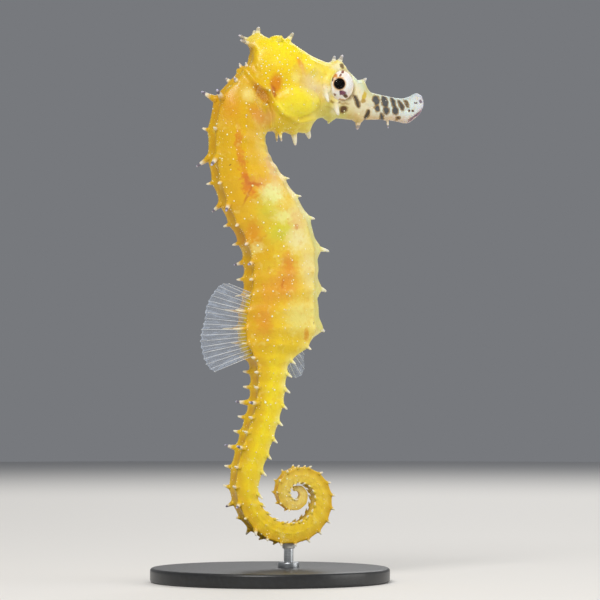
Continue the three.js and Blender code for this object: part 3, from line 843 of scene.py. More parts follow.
HEAD_PATCHES = [
    Patch((3.5, 79.9), (4.2, 2.5), "f4e430", -4, 0.8, 0.12),  # gill cover
    Patch((0.9, 81.0), (1.5, 0.8), "ecb818", -24, 0.5, 0.8),
    Patch((-0.1, 82.9), (1.0, 1.6), "dc8606", 8, 0.9, 0.5),  # over the gill cover
    Patch((-0.5, 81.6), (0.42, 1.2), "b86404", -14, 0.85, 0.5),
    Patch((4.2, 86.2), (0.5, 1.3), "e88c10", -25, 0.75, 0.6),
    Patch((4.4, 84.3), (1.4, 1.8), "e2bc5c", 0, 0.7, 0.7),
    Patch((6.9, 82.9), (2.2, 1.8), "dcc69a", 0, 0.75, 0.7),
    Patch((3.2, 84.0), (0.7, 0.8), "f2e070", 0, 0.8, 0.6),
    Patch((9.3, 78.9), (1.8, 1.4), "d8cc56", 0, 0.7, 0.6),
    # Painted shade in the hollow of the nape.
    Patch((-3.9, 88.3), (0.8, 1.9), "c08c06", 12, 0.75, 0.5),  # hollow of the nape
    # Painted shade in the pectoral hollow, deepest in the next patch.
    Patch((-2.6, 81.3), (0.8, 2.3), "cc8600", -42, 0.85, 0.5),  # pectoral hollow
    Patch((-2.0, 80.6), (0.5, 0.8), "b87000", -30, 0.6, 0.5),
    Patch((-4.9, 81.0), (1.0, 1.1), "eeda7c", 0, 0.8, 0.7),
    Patch((-3.2, 77.6), (2.2, 1.1), "d8890c", 42, 0.7, 0.6),
    Patch((-0.9, 77.6), (0.9, 1.3), "e0a25a", 0, 0.6, 0.7),
    Patch((-8.0, 79.0), (1.4, 2.2), "e0980c", 0, 0.6, 0.8),
    Patch((9.2, 84.6), (2.6, 1.4), "f6e03a", -14, 0.7, 0.7),
    Patch((11.2, 86.0), (1.2, 0.6), "f0eacc", -14, 0.6, 0.6),
    Patch((8.9, 81.5), (0.7, 1.2), "f6ecc8", -10, 0.75, 0.5),  # thorn behind the eye
    Patch((10.8, 79.1), (0.75, 1.1), "f2eac4", 12, 0.75, 0.5),  # thorn of the cheek
    Patch((6.4, 86.0), (1.5, 1.3), "f8e63c", 20, 0.6, 0.6),  # temple
]
TRUNK_PATCHES = [
    Patch((-6.9, 73.8), (0.5, 1.6), "d8741e", 0, 0.6, 0.7),
    Patch((-6.4, 70.2), (0.6, 1.8), "d8761e", -10, 0.65, 0.7),
    Patch((-5.2, 66.0), (0.8, 2.0), "d96c20", -18, 0.75, 0.7),
    Patch((-2.6, 66.2), (2.4, 0.9), "e29a50", 8, 0.6, 0.8),
    Patch((-0.6, 69.3), (0.9, 2.6), "deb48a", -14, 0.6, 0.7),
    Patch((-0.9, 64.6), (2.0, 1.7), "ecf0a0", 0, 0.85, 0.7),
    Patch((-1.7, 62.0), (1.6, 1.6), "cdca40", 0, 0.65, 0.9),
    Patch((0.6, 58.6), (2.2, 1.3), "ccca34", -20, 0.7, 0.8),
    Patch((0.9, 60.9), (1.5, 1.1), "e8ea96", 0, 0.7, 0.7),
    Patch((3.6, 60.2), (1.4, 1.8), "e2be86", 0, 0.6, 0.7),
    Patch((3.3, 57.0), (1.8, 1.8), "f0e8b0", 0, 0.7, 0.7),
    Patch((-4.0, 58.0), (1.2, 1.8), "e08a14", 0, 0.6, 0.8),
    Patch((-3.3, 55.6), (1.0, 0.9), "f2dc7c", 0, 0.7, 0.7),
    Patch((1.2, 50.0), (1.9, 2.8), "e08a2e", 8, 0.7, 0.8),
    Patch((1.6, 53.4), (1.1, 1.8), "da6c24", -20, 0.5, 0.8),
    Patch((-2.2, 43.8), (1.2, 2.4), "e29428", 0, 0.7, 0.8),
    Patch((-1.4, 48.2), (1.2, 2.2), "e39a2a", 0, 0.6, 0.8),
    Patch((3.6, 44.2), (2.2, 2.4), "ecea8e", 0, 0.6, 0.8),
    Patch((5.4, 52.6), (1.5, 2.4), "f0e09a", 0, 0.6, 0.8),
]
WHITE_DOTS = [  # x, z and radius
    (-2.79, 85.89, 0.13), (-1.92, 85.77, 0.11), (-1.35, 86.08, 0.1), (-2.37, 86.24, 0.09),
    (-1.87, 86.59, 0.09), (-2.11, 84.78, 0.13), (-1.39, 85.29, 0.09), (-2.81, 86.98, 0.09),
    (0.24, 85.28, 0.13), (0.51, 86.59, 0.1), (0.92, 86.24, 0.1), (0.41, 87.84, 0.09),
    (-0.48, 87.78, 0.08), (0.02, 87.13, 0.09), (1.46, 86.98, 0.09), (1.8, 86.21, 0.13),
    (2.1, 85.09, 0.14), (0.98, 84.15, 0.12), (1.7, 83.66, 0.14), (1.15, 83.06, 0.12),
    (2.22, 83.1, 0.1), (1.55, 82.51, 0.1), (2.61, 82.32, 0.14), (5.9, 86.02, 0.13),
    (5.19, 85.43, 0.1), (5.53, 86.27, 0.09), (6.44, 85.42, 0.08), (6.07, 84.91, 0.1),
    (6.59, 84.52, 0.15), (7.9, 84.3, 0.16), (5.35, 81.58, 0.1), (6.07, 81.11, 0.09),
    (3.06, 88.5, 0.13), (1.84, 88.8, 0.11), (0.31, 89.4, 0.12), (0.1, 90.0, 0.16),
    (-4.85, 84.46, 0.14), (-4.74, 85.7, 0.1), (-3.32, 82.79, 0.13), (-1.39, 81.88, 0.15),
    (-5.39, 79.61, 0.14), (-1.73, 79.36, 0.17), (0.14, 79.26, 0.12), (0.89, 77.92, 0.11),
    (0.4, 76.94, 0.11), (6.99, 79.36, 0.12), (-6.93, 82.58, 0.12), (-3.6, 74.6, 0.16),
    (-4.2, 66.0, 0.17), (-3.5, 63.0, 0.15), (-2.3, 59.9, 0.15), (0.3, 58.4, 0.15),
    (-1.2, 58.9, 0.12), (-3.3, 56.1, 0.2), (0.3, 54.4, 0.14), (0.9, 51.2, 0.13),
    (-0.6, 48.4, 0.14), (-0.9, 44.3, 0.16), (-1.6, 40.4, 0.2), (-0.7, 39.5, 0.12),
    (-2.0, 29.9, 0.2), (-0.4, 32.0, 0.16), (-1.4, 31.8, 0.1), (-0.2, 29.9, 0.12),
]
STREAKS = [  # fine dark strokes on the flank
    Patch((-5.2, 64.4), (0.2, 1.6), "c06418", 24, 0.6, 0.6),
    Patch((-3.9, 66.2), (1.3, 0.25), "c4621c", 4, 0.7, 0.6),
    Patch((-5.5, 67.2), (0.4, 1.0), "d26c20", -25, 0.6, 0.6),
    Patch((-2.5, 57.3), (0.2, 0.9), "cc801c", 42, 0.35, 0.8),
    Patch((-1.5, 52.2), (0.18, 0.5), "c87020", 10, 0.35, 0.8),
    Patch((0.7, 49.7), (0.18, 0.75), "c8681c", 12, 0.5, 0.6),
    Patch((3.3, 59.2), (0.35, 0.45), "d08428", 0, 0.7, 0.5),
    Patch((-8.1, 69.4), (0.13, 0.13), "80600c", 0, 0.9, 0.4),
    Patch((6.75, 43.2), (0.12, 0.28), "80600c", 20, 0.8, 0.4),
    Patch((5.4, 41.2), (0.45, 1.0), "dc9c10", -10, 0.9, 0.5),
]
BAR = "4e4f50"
SNOUT_MARKS = [
    Patch((18.4, 80.5), (0.53, 0.77), BAR, 0, 1, 0.2),
    Patch((18.6, 79.1), (0.36, 0.5), BAR, 0, 1, 0.2),
    Patch((20.0, 80.3), (0.54, 0.9), BAR, -12, 1, 0.2),
    Patch((20.3, 78.8), (0.48, 0.55), BAR, 0, 1, 0.2),
    Patch((21.6, 80.2), (0.3, 0.86), BAR, -14, 1, 0.2),
    Patch((21.95, 78.8), (0.44, 0.65), BAR, 0, 1, 0.2),
    Patch((23.0, 79.7), (0.26, 0.92), "56504a", -26, 1, 0.2),
    Patch((24.0, 80.0), (0.2, 0.6), "6a5c48", -20, 1, 0.2),
    Patch((19.65, 77.6), (0.24, 0.85), BAR, -28, 1, 0.2),
    Patch((16.8, 78.1), (0.3, 0.8), "4a3c2a", 20, 1, 0.2),
    Patch((14.7, 80.2), (0.36, 1.0), "4a3c2a", -26, 1, 0.2),
    Patch((22.5, 77.6), (0.26, 0.22), "5c4632", 0, 1, 0.2),
    Patch((12.3, 78.9), (0.5, 0.48), "5c3d16", 0, 1, 0.25),
    Patch((25.6, 80.2), (0.3, 0.25), "6c5a64", 0, 1, 0.3),
    Patch((26.5, 80.4), (0.3, 0.3), "7a6a78", 0, 1, 0.3),
    Patch((24.4, 78.8), (0.25, 0.2), "6c5244", 0, 1, 0.3),
    Patch((25.1, 78.8), (0.22, 0.2), "6c5244", 0, 1, 0.3),
    Patch((25.7, 77.9), (1.7, 0.24), "80607a", -37, 0.85, 0.4),
    Patch((12.0, 86.1), (0.45, 0.4), "6a4e24", 30, 0.9, 0.35),  # foot of the thorn over the eye
    Patch((9.95, 80.1), (0.4, 0.25), "9a7824", 30, 0.8, 0.5),  # under the eye
    Patch((12.0, 79.85), (1.2, 0.16), "a8823c", 0, 0.6, 0.5),
]
SNOUT_HALOS = [
    Patch((16.15, 81.1), (0.42, 0.85), "cdb024", 25, 1.0, 0.35),
    Patch((15.9, 80.35), (0.55, 0.35), "b08c30", 0, 0.9, 0.4),
    *(replace(m, reach=(m.reach[0] + 0.22, m.reach[1] + 0.2), colour="8c6820", share=0.85)
      for m in SNOUT_MARKS[:13]),
]


def paint(graph: Graph, colour: object, place: object, marks: list[Patch]) -> object:
    """Lays markings over a colour.

    Args:
        graph: the material's graph.
        colour: the colour below.
        place: position in millimetres, the same on both sides.
        marks: the markings, in the order they are laid.

    Returns:
        The painted colour.
    """
    for mark in marks:
        inputs = {
            "Position": place,
            "Centre": (mark.at[0], 0.0, mark.at[1]),
            "Reach": (mark.reach[0], 1000.0, mark.reach[1]),
            "Turn": -math.radians(mark.turn),
            "Softness": mark.soft,
        }
        mask = graph.add("ShaderNodeGroup", inputs, node_tree=PATCH).outputs[0]
        colour = graph.mix(graph.math("MULTIPLY", mask, mark.share), colour, rgb(mark.colour))
    return colour


@dataclass(frozen=True)
class SkinFinish:
    """Living skin: ground colours by place, oval markings, mottle, dots, and painted shade and highlight
    from its relief.
    """

    name: str = "seahorse_skin"
    blur: float = 1.3  # millimetres by which the edges of the markings wander
    fine_blur: float = 0.35

    def ground(self, graph: Graph, along: object, around: object, drift: object) -> object:
        """Ground colour from the place along and around the body."""
        first, last = BANDS[0].at, BANDS[-1].at
        share = graph.add(
            "ShaderNodeMapRange", {"Value": along, "From Min": first, "From Max": last}
        ).outputs[0]
        ramps = []
        for part in ("back", "flank", "belly"):
            stops = [((b.at - first) / (last - first), rgb(getattr(b, part))) for b in BANDS]
            ramps.append(graph.ramp(share, stops))
        wander = graph.math("MULTIPLY_ADD", drift, 0.3, graph.math("SUBTRACT", around, 0.15))
        upper = graph.mix(graph.rise(wander, 0.18, 0.42), ramps[0], ramps[1])
        return graph.mix(graph.rise(wander, 0.55, 0.85), upper, ramps[2])

    def mottle(self, graph: Graph, colour: object, both: object, fine: object, along: object) -> object:
        """Lays clouds of deeper gold over the whole skin, and paler ones over the body."""
        colour = graph.mix(graph.rise(fine, 0.52, 0.72, 0.25), colour, rgb("d69a0c"))
        pale = graph.rise(graph.noise(both, 0.9, 2.0).outputs[0], 0.58, 0.75, 0.3)
        body = graph.rise(along, -7.0, -4.0)
        return graph.mix(graph.math("MULTIPLY", pale, body), colour, rgb("f2e68c"))

    def rings(self, graph: Graph, colour: object, around: object, fine: object, along: object) -> object:
        """Paints shade on the back between its two ridges, in the grooves and in sunk folds, and pales
        what stands out, partly as painted highlight.
        """
        # Painted shade: deeper gold in the channel between the two back ridges, strongest between the
        # rings.
        edge = graph.math("MULTIPLY_ADD", fine, 0.07, graph.math("SUBTRACT", around, 0.035))
        painted_back_shade = graph.math("MULTIPLY", graph.rise(edge, 0.12, 0.07, 0.8), graph.rise(along, 0, 1.5))
        beat = graph.math("COSINE", graph.math("MULTIPLY", along, TURN))
        painted_back_shade = graph.math("MULTIPLY", painted_back_shade, graph.math("MULTIPLY_ADD", beat, -0.35, 0.6))
        colour = graph.mix(painted_back_shade, colour, rgb("cc9806"))
        relief = graph.value("relief")
        # Painted shade in the grooves between rings and in sunk folds.
        colour = graph.mix(graph.rise(relief, -0.02, -0.16, 0.3), colour, rgb("c08a0a"))
        # Pale on what stands out: partly the paler colour of crests and webs, partly painted highlight.
        return graph.mix(graph.rise(relief, 0.1, 0.4, 0.35), colour, rgb("f4e38c"))

    def thorn_colour(self, graph: Graph, colour: object, grain: object) -> object:
        """Colour of the thorns: glassy shafts, the long ones dusky below the tip."""
        tip = graph.math("SUBTRACT", graph.value("tip"), 0.08)
        wander = graph.math("MULTIPLY_ADD", grain, 0.16, tip)
        clear = graph.math("MULTIPLY", graph.rise(wander, 0.15, 0.65), graph.value("glass"))
        shaft = graph.mix(clear, colour, rgb("f1eee0"))
        dusk = graph.value("dusk")
        band = graph.math("MULTIPLY", graph.rise(wander, 0.58, 0.7), graph.rise(wander, 0.95, 0.87))
        shaft = graph.mix(graph.math("MULTIPLY", band, dusk), shaft, rgb("565270"))
        end = graph.math("MULTIPLY", graph.rise(wander, 0.86, 0.94), dusk)
        return graph.mix(end, shaft, rgb("b7b3d8"))

    def build(self) -> Material:
        """Makes the material."""
        material, graph, shader = new_material(self.name)
        place = graph.place()
        parts = graph.add("ShaderNodeSeparateXYZ", {0: place}).outputs
        half = graph.math("ABSOLUTE", parts[1])
        both = graph.add("ShaderNodeCombineXYZ", {0: parts[0], 1: half, 2: parts[2]}).outputs[0]
        along, around = graph.value("place"), graph.value("around")
        broad = graph.noise(both, 0.35, 3.0).outputs[0]
        clouds = graph.noise(both, 1.6, 4.0)
        fine = clouds.outputs[0]
        grain = graph.noise(place, 5.0, 3.0).outputs[0]
        loose = graph.wander(both, clouds, (2 * self.blur,) * 3)
        tight = graph.wander(both, clouds, (2 * self.fine_blur,) * 3)

        colour = self.ground(graph, along, around, broad)
        colour = paint(graph, colour, loose, TRUNK_PATCHES)
        colour = paint(graph, colour, tight, HEAD_PATCHES + STREAKS)
        colour = self.mottle(graph, colour, both, fine, along)
        colour = self.rings(graph, colour, around, fine, along)
        colour = paint(graph, colour, tight, SNOUT_HALOS + SNOUT_MARKS)
        inputs = {"Position": place, "Spacing": 0.8, "Radius": 0.11, "Share": 0.35}
        dots = graph.add("ShaderNodeGroup", inputs, node_tree=DOTS).outputs[0]
        colour = graph.mix(graph.math("MULTIPLY", dots, 0.75), colour, rgb("fbf3cf"))
        colour = self.thorn_colour(graph, colour, grain)

        height = graph.math("MULTIPLY_ADD", dots, 0.7, graph.math("MULTIPLY_ADD", fine, 1.6, grain))
        connect(
            graph, shader, Base_Color=colour, Normal=graph.bump(height, 0.35, 0.12),
            Roughness=graph.math("ADD", graph.rise(fine, 0.2, 0.9, 0.2), 0.34),
            Subsurface_Weight=0.22, Subsurface_Radius=(1.0, 0.7, 0.25), Subsurface_Scale=0.001,
            Specular_IOR_Level=0.35, Coat_Weight=0.2, Coat_Roughness=0.16,
        )
        return material


@dataclass(frozen=True)
class PlainFinish:
    """A finish of one colour that clouds a little, with a fine grain in its surface."""

    name: str
    colour: str
    cloud: str
    roughness: float
    metallic: float = 0.0
    grain: float = 2.0  # grains in each millimetre
    depth: float = 0.02  # depth of the grain in millimetres
    coat: float = 0.0
    stretch: Point = (1.0, 1.0, 1.0)
    subsurface: float = 0.0

    def build(self) -> Material:
        """Makes the material."""
        material, graph, shader = new_material(self.name)
        place = graph.place(self.stretch)
        cloud = graph.noise(place, 0.15 * self.grain, 3.0).outputs[0]
        grain = graph.noise(place, self.grain, 3.0).outputs[0]
        colour = graph.mix(graph.rise(cloud, 0.35, 0.7), rgb(self.colour), rgb(self.cloud))
        rough = graph.math("MULTIPLY_ADD", grain, 0.2, self.roughness - 0.1)
        connect(
            graph, shader, Base_Color=colour, Roughness=rough, Normal=graph.bump(grain, 0.5, self.depth),
            Metallic=self.metallic, Coat_Weight=self.coat, Coat_Roughness=0.1,
            Subsurface_Weight=self.subsurface, Subsurface_Scale=0.0006,
        )
        return material


@dataclass(frozen=True)
class MembraneFinish:
    """Clear skin of a fin, tinted by the body near its root."""

    name: str = "fin_membrane"
    clear: str = "b4bfd0"
    root: str = "dcc62c"
    least: float = 0.16  # opacity far from the root
    most: float = 0.88
    streaks: float = 0.3  # opacity of the fine streaks beside the rays

    def build(self) -> Material:
        """Makes the material."""
        material, graph, shader = new_material(self.name)
        out = graph.value("out")
        cloud = graph.noise(graph.place(), 0.9, 3.0).outputs[0]
        near = graph.rise(graph.math("MULTIPLY_ADD", cloud, 0.24, out), 0.4, 0.2)
        colour = graph.mix(near, rgb(self.clear), rgb(self.root))
        veil = graph.math("MULTIPLY_ADD", cloud, 0.16, self.least - 0.08)
        lengthwise = graph.add("ShaderNodeCombineXYZ", {
            0: graph.math("MULTIPLY", graph.value("rib"), 2.6), 1: graph.math("MULTIPLY", out, 3.0),
        }).outputs[0]
        streak = graph.rise(graph.noise(lengthwise, 1.0, 2.0).outputs[0], 0.5, 0.66, self.streaks)
        veil = graph.math("ADD", veil, streak)
        edge = graph.math("MULTIPLY_ADD", graph.rise(out, 0.96, 1.0), 0.3, veil)
        alpha = graph.math("ADD", edge, graph.math("MULTIPLY", near, self.most - self.least))
        connect(
            graph, shader, Base_Color=colour, Alpha=alpha, Roughness=0.3,
            Coat_Weight=0.3, Coat_Roughness=0.15,
        )
        return material


@dataclass(frozen=True)
class IrisFinish:
    """Cream iris with brown and orange blotches round a black pupil.

    The eye's own map gives the place on its disc, one unit to ten millimetres.
    """

    name: str = "iris"
    pupil: float = 0.88
    pupil_at: Pair = (0.35, 0.2)
    marks: tuple[Patch, ...] = (
        Patch((-0.6, 1.5), (0.62, 0.42), "d98a20", -12, 0.95, 0.35),
        Patch((-0.9, 1.0), (0.25, 0.4), "6a3a14", -20, 0.9, 0.35),
        Patch((0.9, 2.25), (0.2, 0.36), "8a3a1e", 15, 0.95, 0.35),
        Patch((0.55, 1.62), (0.2, 0.24), "7a3418", 20, 0.9, 0.35),
        Patch((0.3, 1.25), (0.75, 0.16), "e2a24a", 0, 0.7, 0.4),
        Patch((0.85, -1.28), (0.55, 0.4), "80405c", 0, 0.95, 0.35),
        Patch((0.5, -1.05), (0.22, 0.25), "54284c", 0, 0.8, 0.4),
        Patch((1.4, -1.8), (0.42, 0.3), "5c3a12", 30, 0.95, 0.3),
        Patch((-0.55, -1.65), (0.32, 0.28), "8a5c34", 0, 0.9, 0.35),
        Patch((0.4, -2.5), (1.3, 0.2), "b98a3c", 0, 0.8, 0.4),
        Patch((1.9, 0.6), (0.7, 1.3), "ffffff", 0, 0.7, 0.5),
    )

    def build(self) -> Material:
        """Makes the material."""
        material, graph, shader = new_material(self.name)
        chart = graph.add("ShaderNodeUVMap", uv_map=EYE_MAP).outputs[0]
        flat = graph.vector("MULTIPLY", graph.vector("SUBTRACT", chart, (0.5, 0.5, 0.0)),
                            (10.0, 10.0, 0.0))
        parts = graph.add("ShaderNodeSeparateXYZ", {0: flat}).outputs
        disc = graph.add("ShaderNodeCombineXYZ", {0: parts[0], 2: parts[1]}).outputs[0]
        noise = graph.noise(disc, 1.8, 3.0)
        wandering = graph.wander(disc, noise, (0.7, 0.0, 0.7))
        centre = (self.pupil_at[0], 0.0, self.pupil_at[1])
        away = graph.vector("LENGTH", graph.vector("SUBTRACT", disc, centre))
        whole = graph.vector("LENGTH", disc)
        colour = graph.mix(graph.rise(noise.outputs[0], 0.35, 0.7), rgb("fffdf6"), rgb("fceeda"))
        colour = graph.mix(graph.rise(whole, 2.3, 2.85, 0.5), colour, rgb("f6deb8"))
        colour = paint(graph, colour, wandering, list(self.marks))
        colour = graph.mix(graph.rise(away, 1.25, 1.0, 0.8), colour, rgb("dca862"))
        colour = graph.mix(graph.rise(away, self.pupil + 0.16, self.pupil), colour, rgb("2a1410"))
        colour = graph.mix(graph.rise(away, self.pupil, self.pupil - 0.15), colour, rgb("040303"))
        grain = graph.noise(disc, 6.0, 2.0).outputs[0]
        connect(
            graph, shader, Base_Color=colour, Roughness=0.5, Normal=graph.bump(grain, 0.3, 0.05),
            Specular_IOR_Level=0.1, Subsurface_Weight=0.1, Subsurface_Scale=0.0005,
        )
        return material


@dataclass(frozen=True)
class CorneaFinish:
    """Clear wet dome over the iris, seen mostly by what it reflects."""

    name: str = "cornea"

    def build(self) -> Material:
        """Makes the material."""
        material, graph, shader = new_material(self.name)
        facing = graph.add("ShaderNodeLayerWeight", {"Blend": 0.3}).outputs["Facing"]
        rim = graph.math("POWER", facing, 3.0)
        connect(
            graph, shader, Base_Color=rgb("080604"), Roughness=0.04,
            Alpha=graph.math("MULTIPLY_ADD", rim, 0.06, 0.03), Specular_IOR_Level=0.7,
            Coat_Weight=1.0, Coat_Roughness=0.02,
        )
        return material


EYE_MAP = "disc"

# ------------------------------------------------------------- what grows by nodes


def growth_group(name: str, inputs: dict[str, str]) -> tuple[Graph, NodeOutputs]:
    """Starts a geometry tree that takes and gives a mesh, with further inputs by name."""
    mesh = {"Geometry": "Geometry"}
    return new_tree(name, "GeometryNodeTree", mesh | inputs, mesh)


def finish_growth(graph: Graph, instances: object, finish: object) -> NodeTree:
    """Ends a geometry tree: instances made real, with their finish."""
    real = graph.add("GeometryNodeRealizeInstances", {0: instances}).outputs[0]
    dressed = graph.add("GeometryNodeSetMaterial", {"Geometry": real, "Material": finish})
    graph.add("NodeGroupOutput", {0: dressed.outputs[0]})
    return graph.tree


def stored(graph: Graph, name: str, kind: str = "FLOAT") -> NodeSocket:
    """Reads a value stored on the points."""
    return graph.add("GeometryNodeInputNamedAttribute", {"Name": name}, data_type=kind).outputs[0]


def copies(graph: Graph, points: object, shape: object, **inputs: object) -> NodeSocket:
    """Puts a copy of an object on each point; Rotation, Scale and Selection may follow."""
    given = graph.add("GeometryNodeObjectInfo", {"Object": shape}).outputs["Geometry"]
    inputs |= {"Points": points, "Instance": given}
    return graph.add("GeometryNodeInstanceOnPoints", inputs).outputs[0]


def thorn_growth() -> NodeTree:
    """Tree that stands a thorn on each point, along its own direction."""
    graph, given = growth_group("thorns", {"Thorn": "Object", "Finish": "Material"})
    turned = graph.add("FunctionNodeAlignRotationToVector",
                       {"Vector": stored(graph, "direction", "FLOAT_VECTOR")}, axis="Z")
    width = stored(graph, "radius")
    scale = graph.add("ShaderNodeCombineXYZ", {0: width, 1: width, 2: stored(graph, "length")})
    thorns = copies(graph, given["Geometry"], given["Thorn"],
                    Rotation=turned.outputs[0], Scale=scale.outputs[0])
    return finish_growth(graph, thorns, given["Finish"])


def wart_growth() -> NodeTree:
    """Tree that scatters warts over a skin, closer where its attribute is higher."""
    graph, given = growth_group("warts", {
        "Wart": "Object", "Finish": "Material", "Spacing": "Float", "Density": "Float",
        "Smallest": "Float", "Largest": "Float", "Seed": "Int",
    })
    points = graph.add("GeometryNodeDistributePointsOnFaces", {
        "Mesh": given["Geometry"], "Distance Min": given["Spacing"],
        "Density Max": given["Density"], "Density Factor": stored(graph, "warts"),
        "Seed": given["Seed"],
    }, distribute_method="POISSON")
    chance = graph.add("FunctionNodeRandomValue", {"Seed": given["Seed"]}, data_type="FLOAT").outputs[1]
    share = graph.math("POWER", chance, 3.0)
    size = graph.add("ShaderNodeMapRange", {
        "Value": share, "To Min": given["Smallest"], "To Max": given["Largest"],
    }).outputs[0]
    warts = copies(graph, points.outputs["Points"], given["Wart"],
                   Rotation=points.outputs["Rotation"], Scale=size)
    return finish_growth(graph, warts, given["Finish"])


def ray_growth() -> NodeTree:
    """Tree that turns lines into tapering fin rays with beads along them."""
    graph, given = growth_group("rays", {
        "Finish": "Material", "Root Radius": "Float", "Tip Radius": "Float",
        "Bead": "Object", "Bead Spacing": "Float", "Smallest": "Float", "Largest": "Float",
        "Seed": "Int",
    })
    curves = graph.add("GeometryNodeMeshToCurve", {"Mesh": given["Geometry"]}).outputs[0]
    out = graph.add("GeometryNodeSplineParameter").outputs["Factor"]
    radius = graph.add("ShaderNodeMapRange", {
        "Value": out, "To Min": given["Root Radius"], "To Max": given["Tip Radius"],
    }).outputs[0]
    ring = graph.add("GeometryNodeCurvePrimitiveCircle", {"Resolution": 6, "Radius": 1.0})
    bars = graph.add("GeometryNodeCurveToMesh", {
        "Curve": curves, "Profile Curve": ring.outputs[0], "Scale": radius, "Fill Caps": True,
    }).outputs[0]
    smooth = graph.add("GeometryNodeSetShadeSmooth", {"Geometry": bars}).outputs[0]
    stops = graph.add("GeometryNodeCurveToPoints",
                      {"Curve": curves, "Length": given["Bead Spacing"]}, mode="LENGTH")
    chosen = graph.add("FunctionNodeRandomValue",
                       {"Probability": 0.62, "Seed": given["Seed"]}, data_type="BOOLEAN")
    limits = {2: given["Smallest"], 3: given["Largest"], "Seed": given["Seed"]}
    size = graph.add("FunctionNodeRandomValue", limits, data_type="FLOAT")
    beads = copies(graph, stops.outputs["Points"], given["Bead"],
                   Selection=chosen.outputs[3], Scale=size.outputs[1])
    whole = graph.add("GeometryNodeJoinGeometry")
    for part in (beads, smooth):
        graph.feed(whole.inputs[0], part)
    return finish_growth(graph, whole.outputs[0], given["Finish"])


def grow(name: str, source: Object, tree: NodeTree, **inputs: object) -> Object:
    """Runs a geometry tree on an object and keeps the result as a plain mesh.

    Args:
        name: name of the new object.
        source: object that the tree starts from; it is left as it was.
        tree: the geometry tree.
        inputs: values of its inputs, with _ for the spaces of their names.

    Returns:
        The new object.
    """
    modifier = source.modifiers.new("grow", "NODES")
    modifier.node_group = tree
    for item in tree.interface.items_tree:
        key = item.name.replace(" ", "_")
        if item.in_out == "INPUT" and key in inputs:
            modifier[item.identifier] = inputs[key]
    made = evaluated(source, name)
    source.modifiers.remove(modifier)
    return made


def stand(
    name: str, roots: np.ndarray, ways: np.ndarray, shape: Object, material: Material,
    **values: np.ndarray,
) -> Object:
    """Stands a copy of a shape on each of some points.

    Args:
        name: name of the new object.
        roots: the points.
        ways: the way that each copy stands.
        shape: the shape, which is used up.
        material: finish of the copies.
        values: what each copy keeps under a name; length and radius, in metres, size it.

    Returns:
        All copies as one object, each with a cell of its own on the bake map.
    """
    source = new_object(f"{name}_roots", roots, [])
    layer = source.data.attributes.new("direction", "FLOAT_VECTOR", "POINT")
    layer.data.foreach_set("vector", np.asarray(ways, np.float32).ravel())
    for label, numbers in values.items():
        set_values(source.data, label, numbers)
    made = grow(name, source, thorn_growth(), Thorn=shape, Finish=material)
    tile_map(made.data, len(roots))
    discard(source, shape)
    return made


BAKE_MAP = "OFBake"


def tile_map(mesh: Mesh, copies: int) -> None:
    """Gives each copy of a repeated shape a cell of its own on the bake map.

    Args:
        mesh: mesh whose copies follow each other and all carry the same map.
        copies: how many there are.
    """
    layer = mesh.uv_layers[BAKE_MAP]
    chart = np.zeros(len(layer.data) * 2, np.float32)
    layer.data.foreach_get("uv", chart)
    chart = chart.reshape(copies, -1, 2)
    cells = math.ceil(math.sqrt(copies))
    number = np.arange(copies)
    corner = np.stack([number % cells, number // cells], axis=-1)[:, None, :]
    tiled = (corner + 0.04 + 0.92 * chart) / cells
    layer.data.foreach_set("uv", tiled.astype(np.float32).ravel())


def small_shape(name: str, vertices: np.ndarray, faces: list) -> Object:
    """Makes a shape of unit size to be repeated, mapped for baking by angle and height."""
    shape = new_object(name, vertices / MM, faces)
    outward(shape)
    mesh = shape.data
    layer = mesh.uv_layers.new(name=BAKE_MAP)
    top = max(v.co.z for v in mesh.vertices)
    low = min(v.co.z for v in mesh.vertices)
    for loop, spot in zip(mesh.loops, layer.data):
        point = mesh.vertices[loop.vertex_index].co
        angle = math.atan2(point.y, point.x) / TURN + 0.5
        spot.uv = (angle, (point.z - low) / (top - low))
    return shape


def wart_shape() -> Object:
    """Low dome of unit size."""
    profile = [(0.0, -0.5), (1.0, -0.3), (1.05, 0.0), (0.8, 0.3), (0.0, 0.48)]
    return small_shape("wart_shape", *lathe(profile, 8))


# ----------------------------------------------------------------------- the skin


@dataclass(frozen=True)
class Swelling:
    """A place where the skin swells out, or sinks in if its height is negative.

    Its middle and reach are x, y and z; y counts from the plane of symmetry.
    """

    at: Point
    reach: Point
    height: float
    turn: float = 0.0
    form: Form = Form.SOFT

    def rise(self, points: np.ndarray) -> np.ndarray:
        """Height of the swelling at points of the skin."""
        angle = math.radians(self.turn)
        x = points[..., 0] - self.at[0]
        z = points[..., 2] - self.at[2]
        y = np.abs(points[..., 1]) - self.at[1]
        level = x * math.cos(angle) - z * math.sin(angle)
        upright = x * math.sin(angle) + z * math.cos(angle)
        away = np.sqrt(
            (level / self.reach[0]) ** 2 + (y / self.reach[1]) ** 2 + (upright / self.reach[2]) ** 2
        )
        if self.form is Form.PLATE:
            dome = np.clip(1 - away**2, 0, 1) ** 0.6
            furrow = np.exp(-(((away - 1.07) / 0.06) ** 2))
            return self.height * (dome - 0.22 * furrow)
        return self.height * np.clip(1 - away**2, 0, 1) ** 2


@dataclass(frozen=True)
class Fold:
    """A fold of the skin along a line seen from the side, sunk if its height is negative."""

    line: tuple[Pair, ...]
    radius: float
    height: float
    least_y: float = 0.5

    def rise(self, points: np.ndarray) -> np.ndarray:
        """Height of the fold at points of the skin."""
        flat = points[..., [0, 2]]
        best = np.full(flat.shape[:-1], np.inf)
        for start, end in zip(self.line, self.line[1:]):
            a = np.array(start)
            way = np.array(end) - a
            share = np.clip(((flat - a) @ way) / (way @ way), 0, 1)
            gap = np.linalg.norm(flat - a - share[..., None] * way, axis=-1)
            best = np.minimum(best, gap)
        side = smoothstep(np.abs(points[..., 1]), self.least_y, self.least_y + 1.0)
        return self.height * np.exp(-((best / self.radius) ** 2)) * side


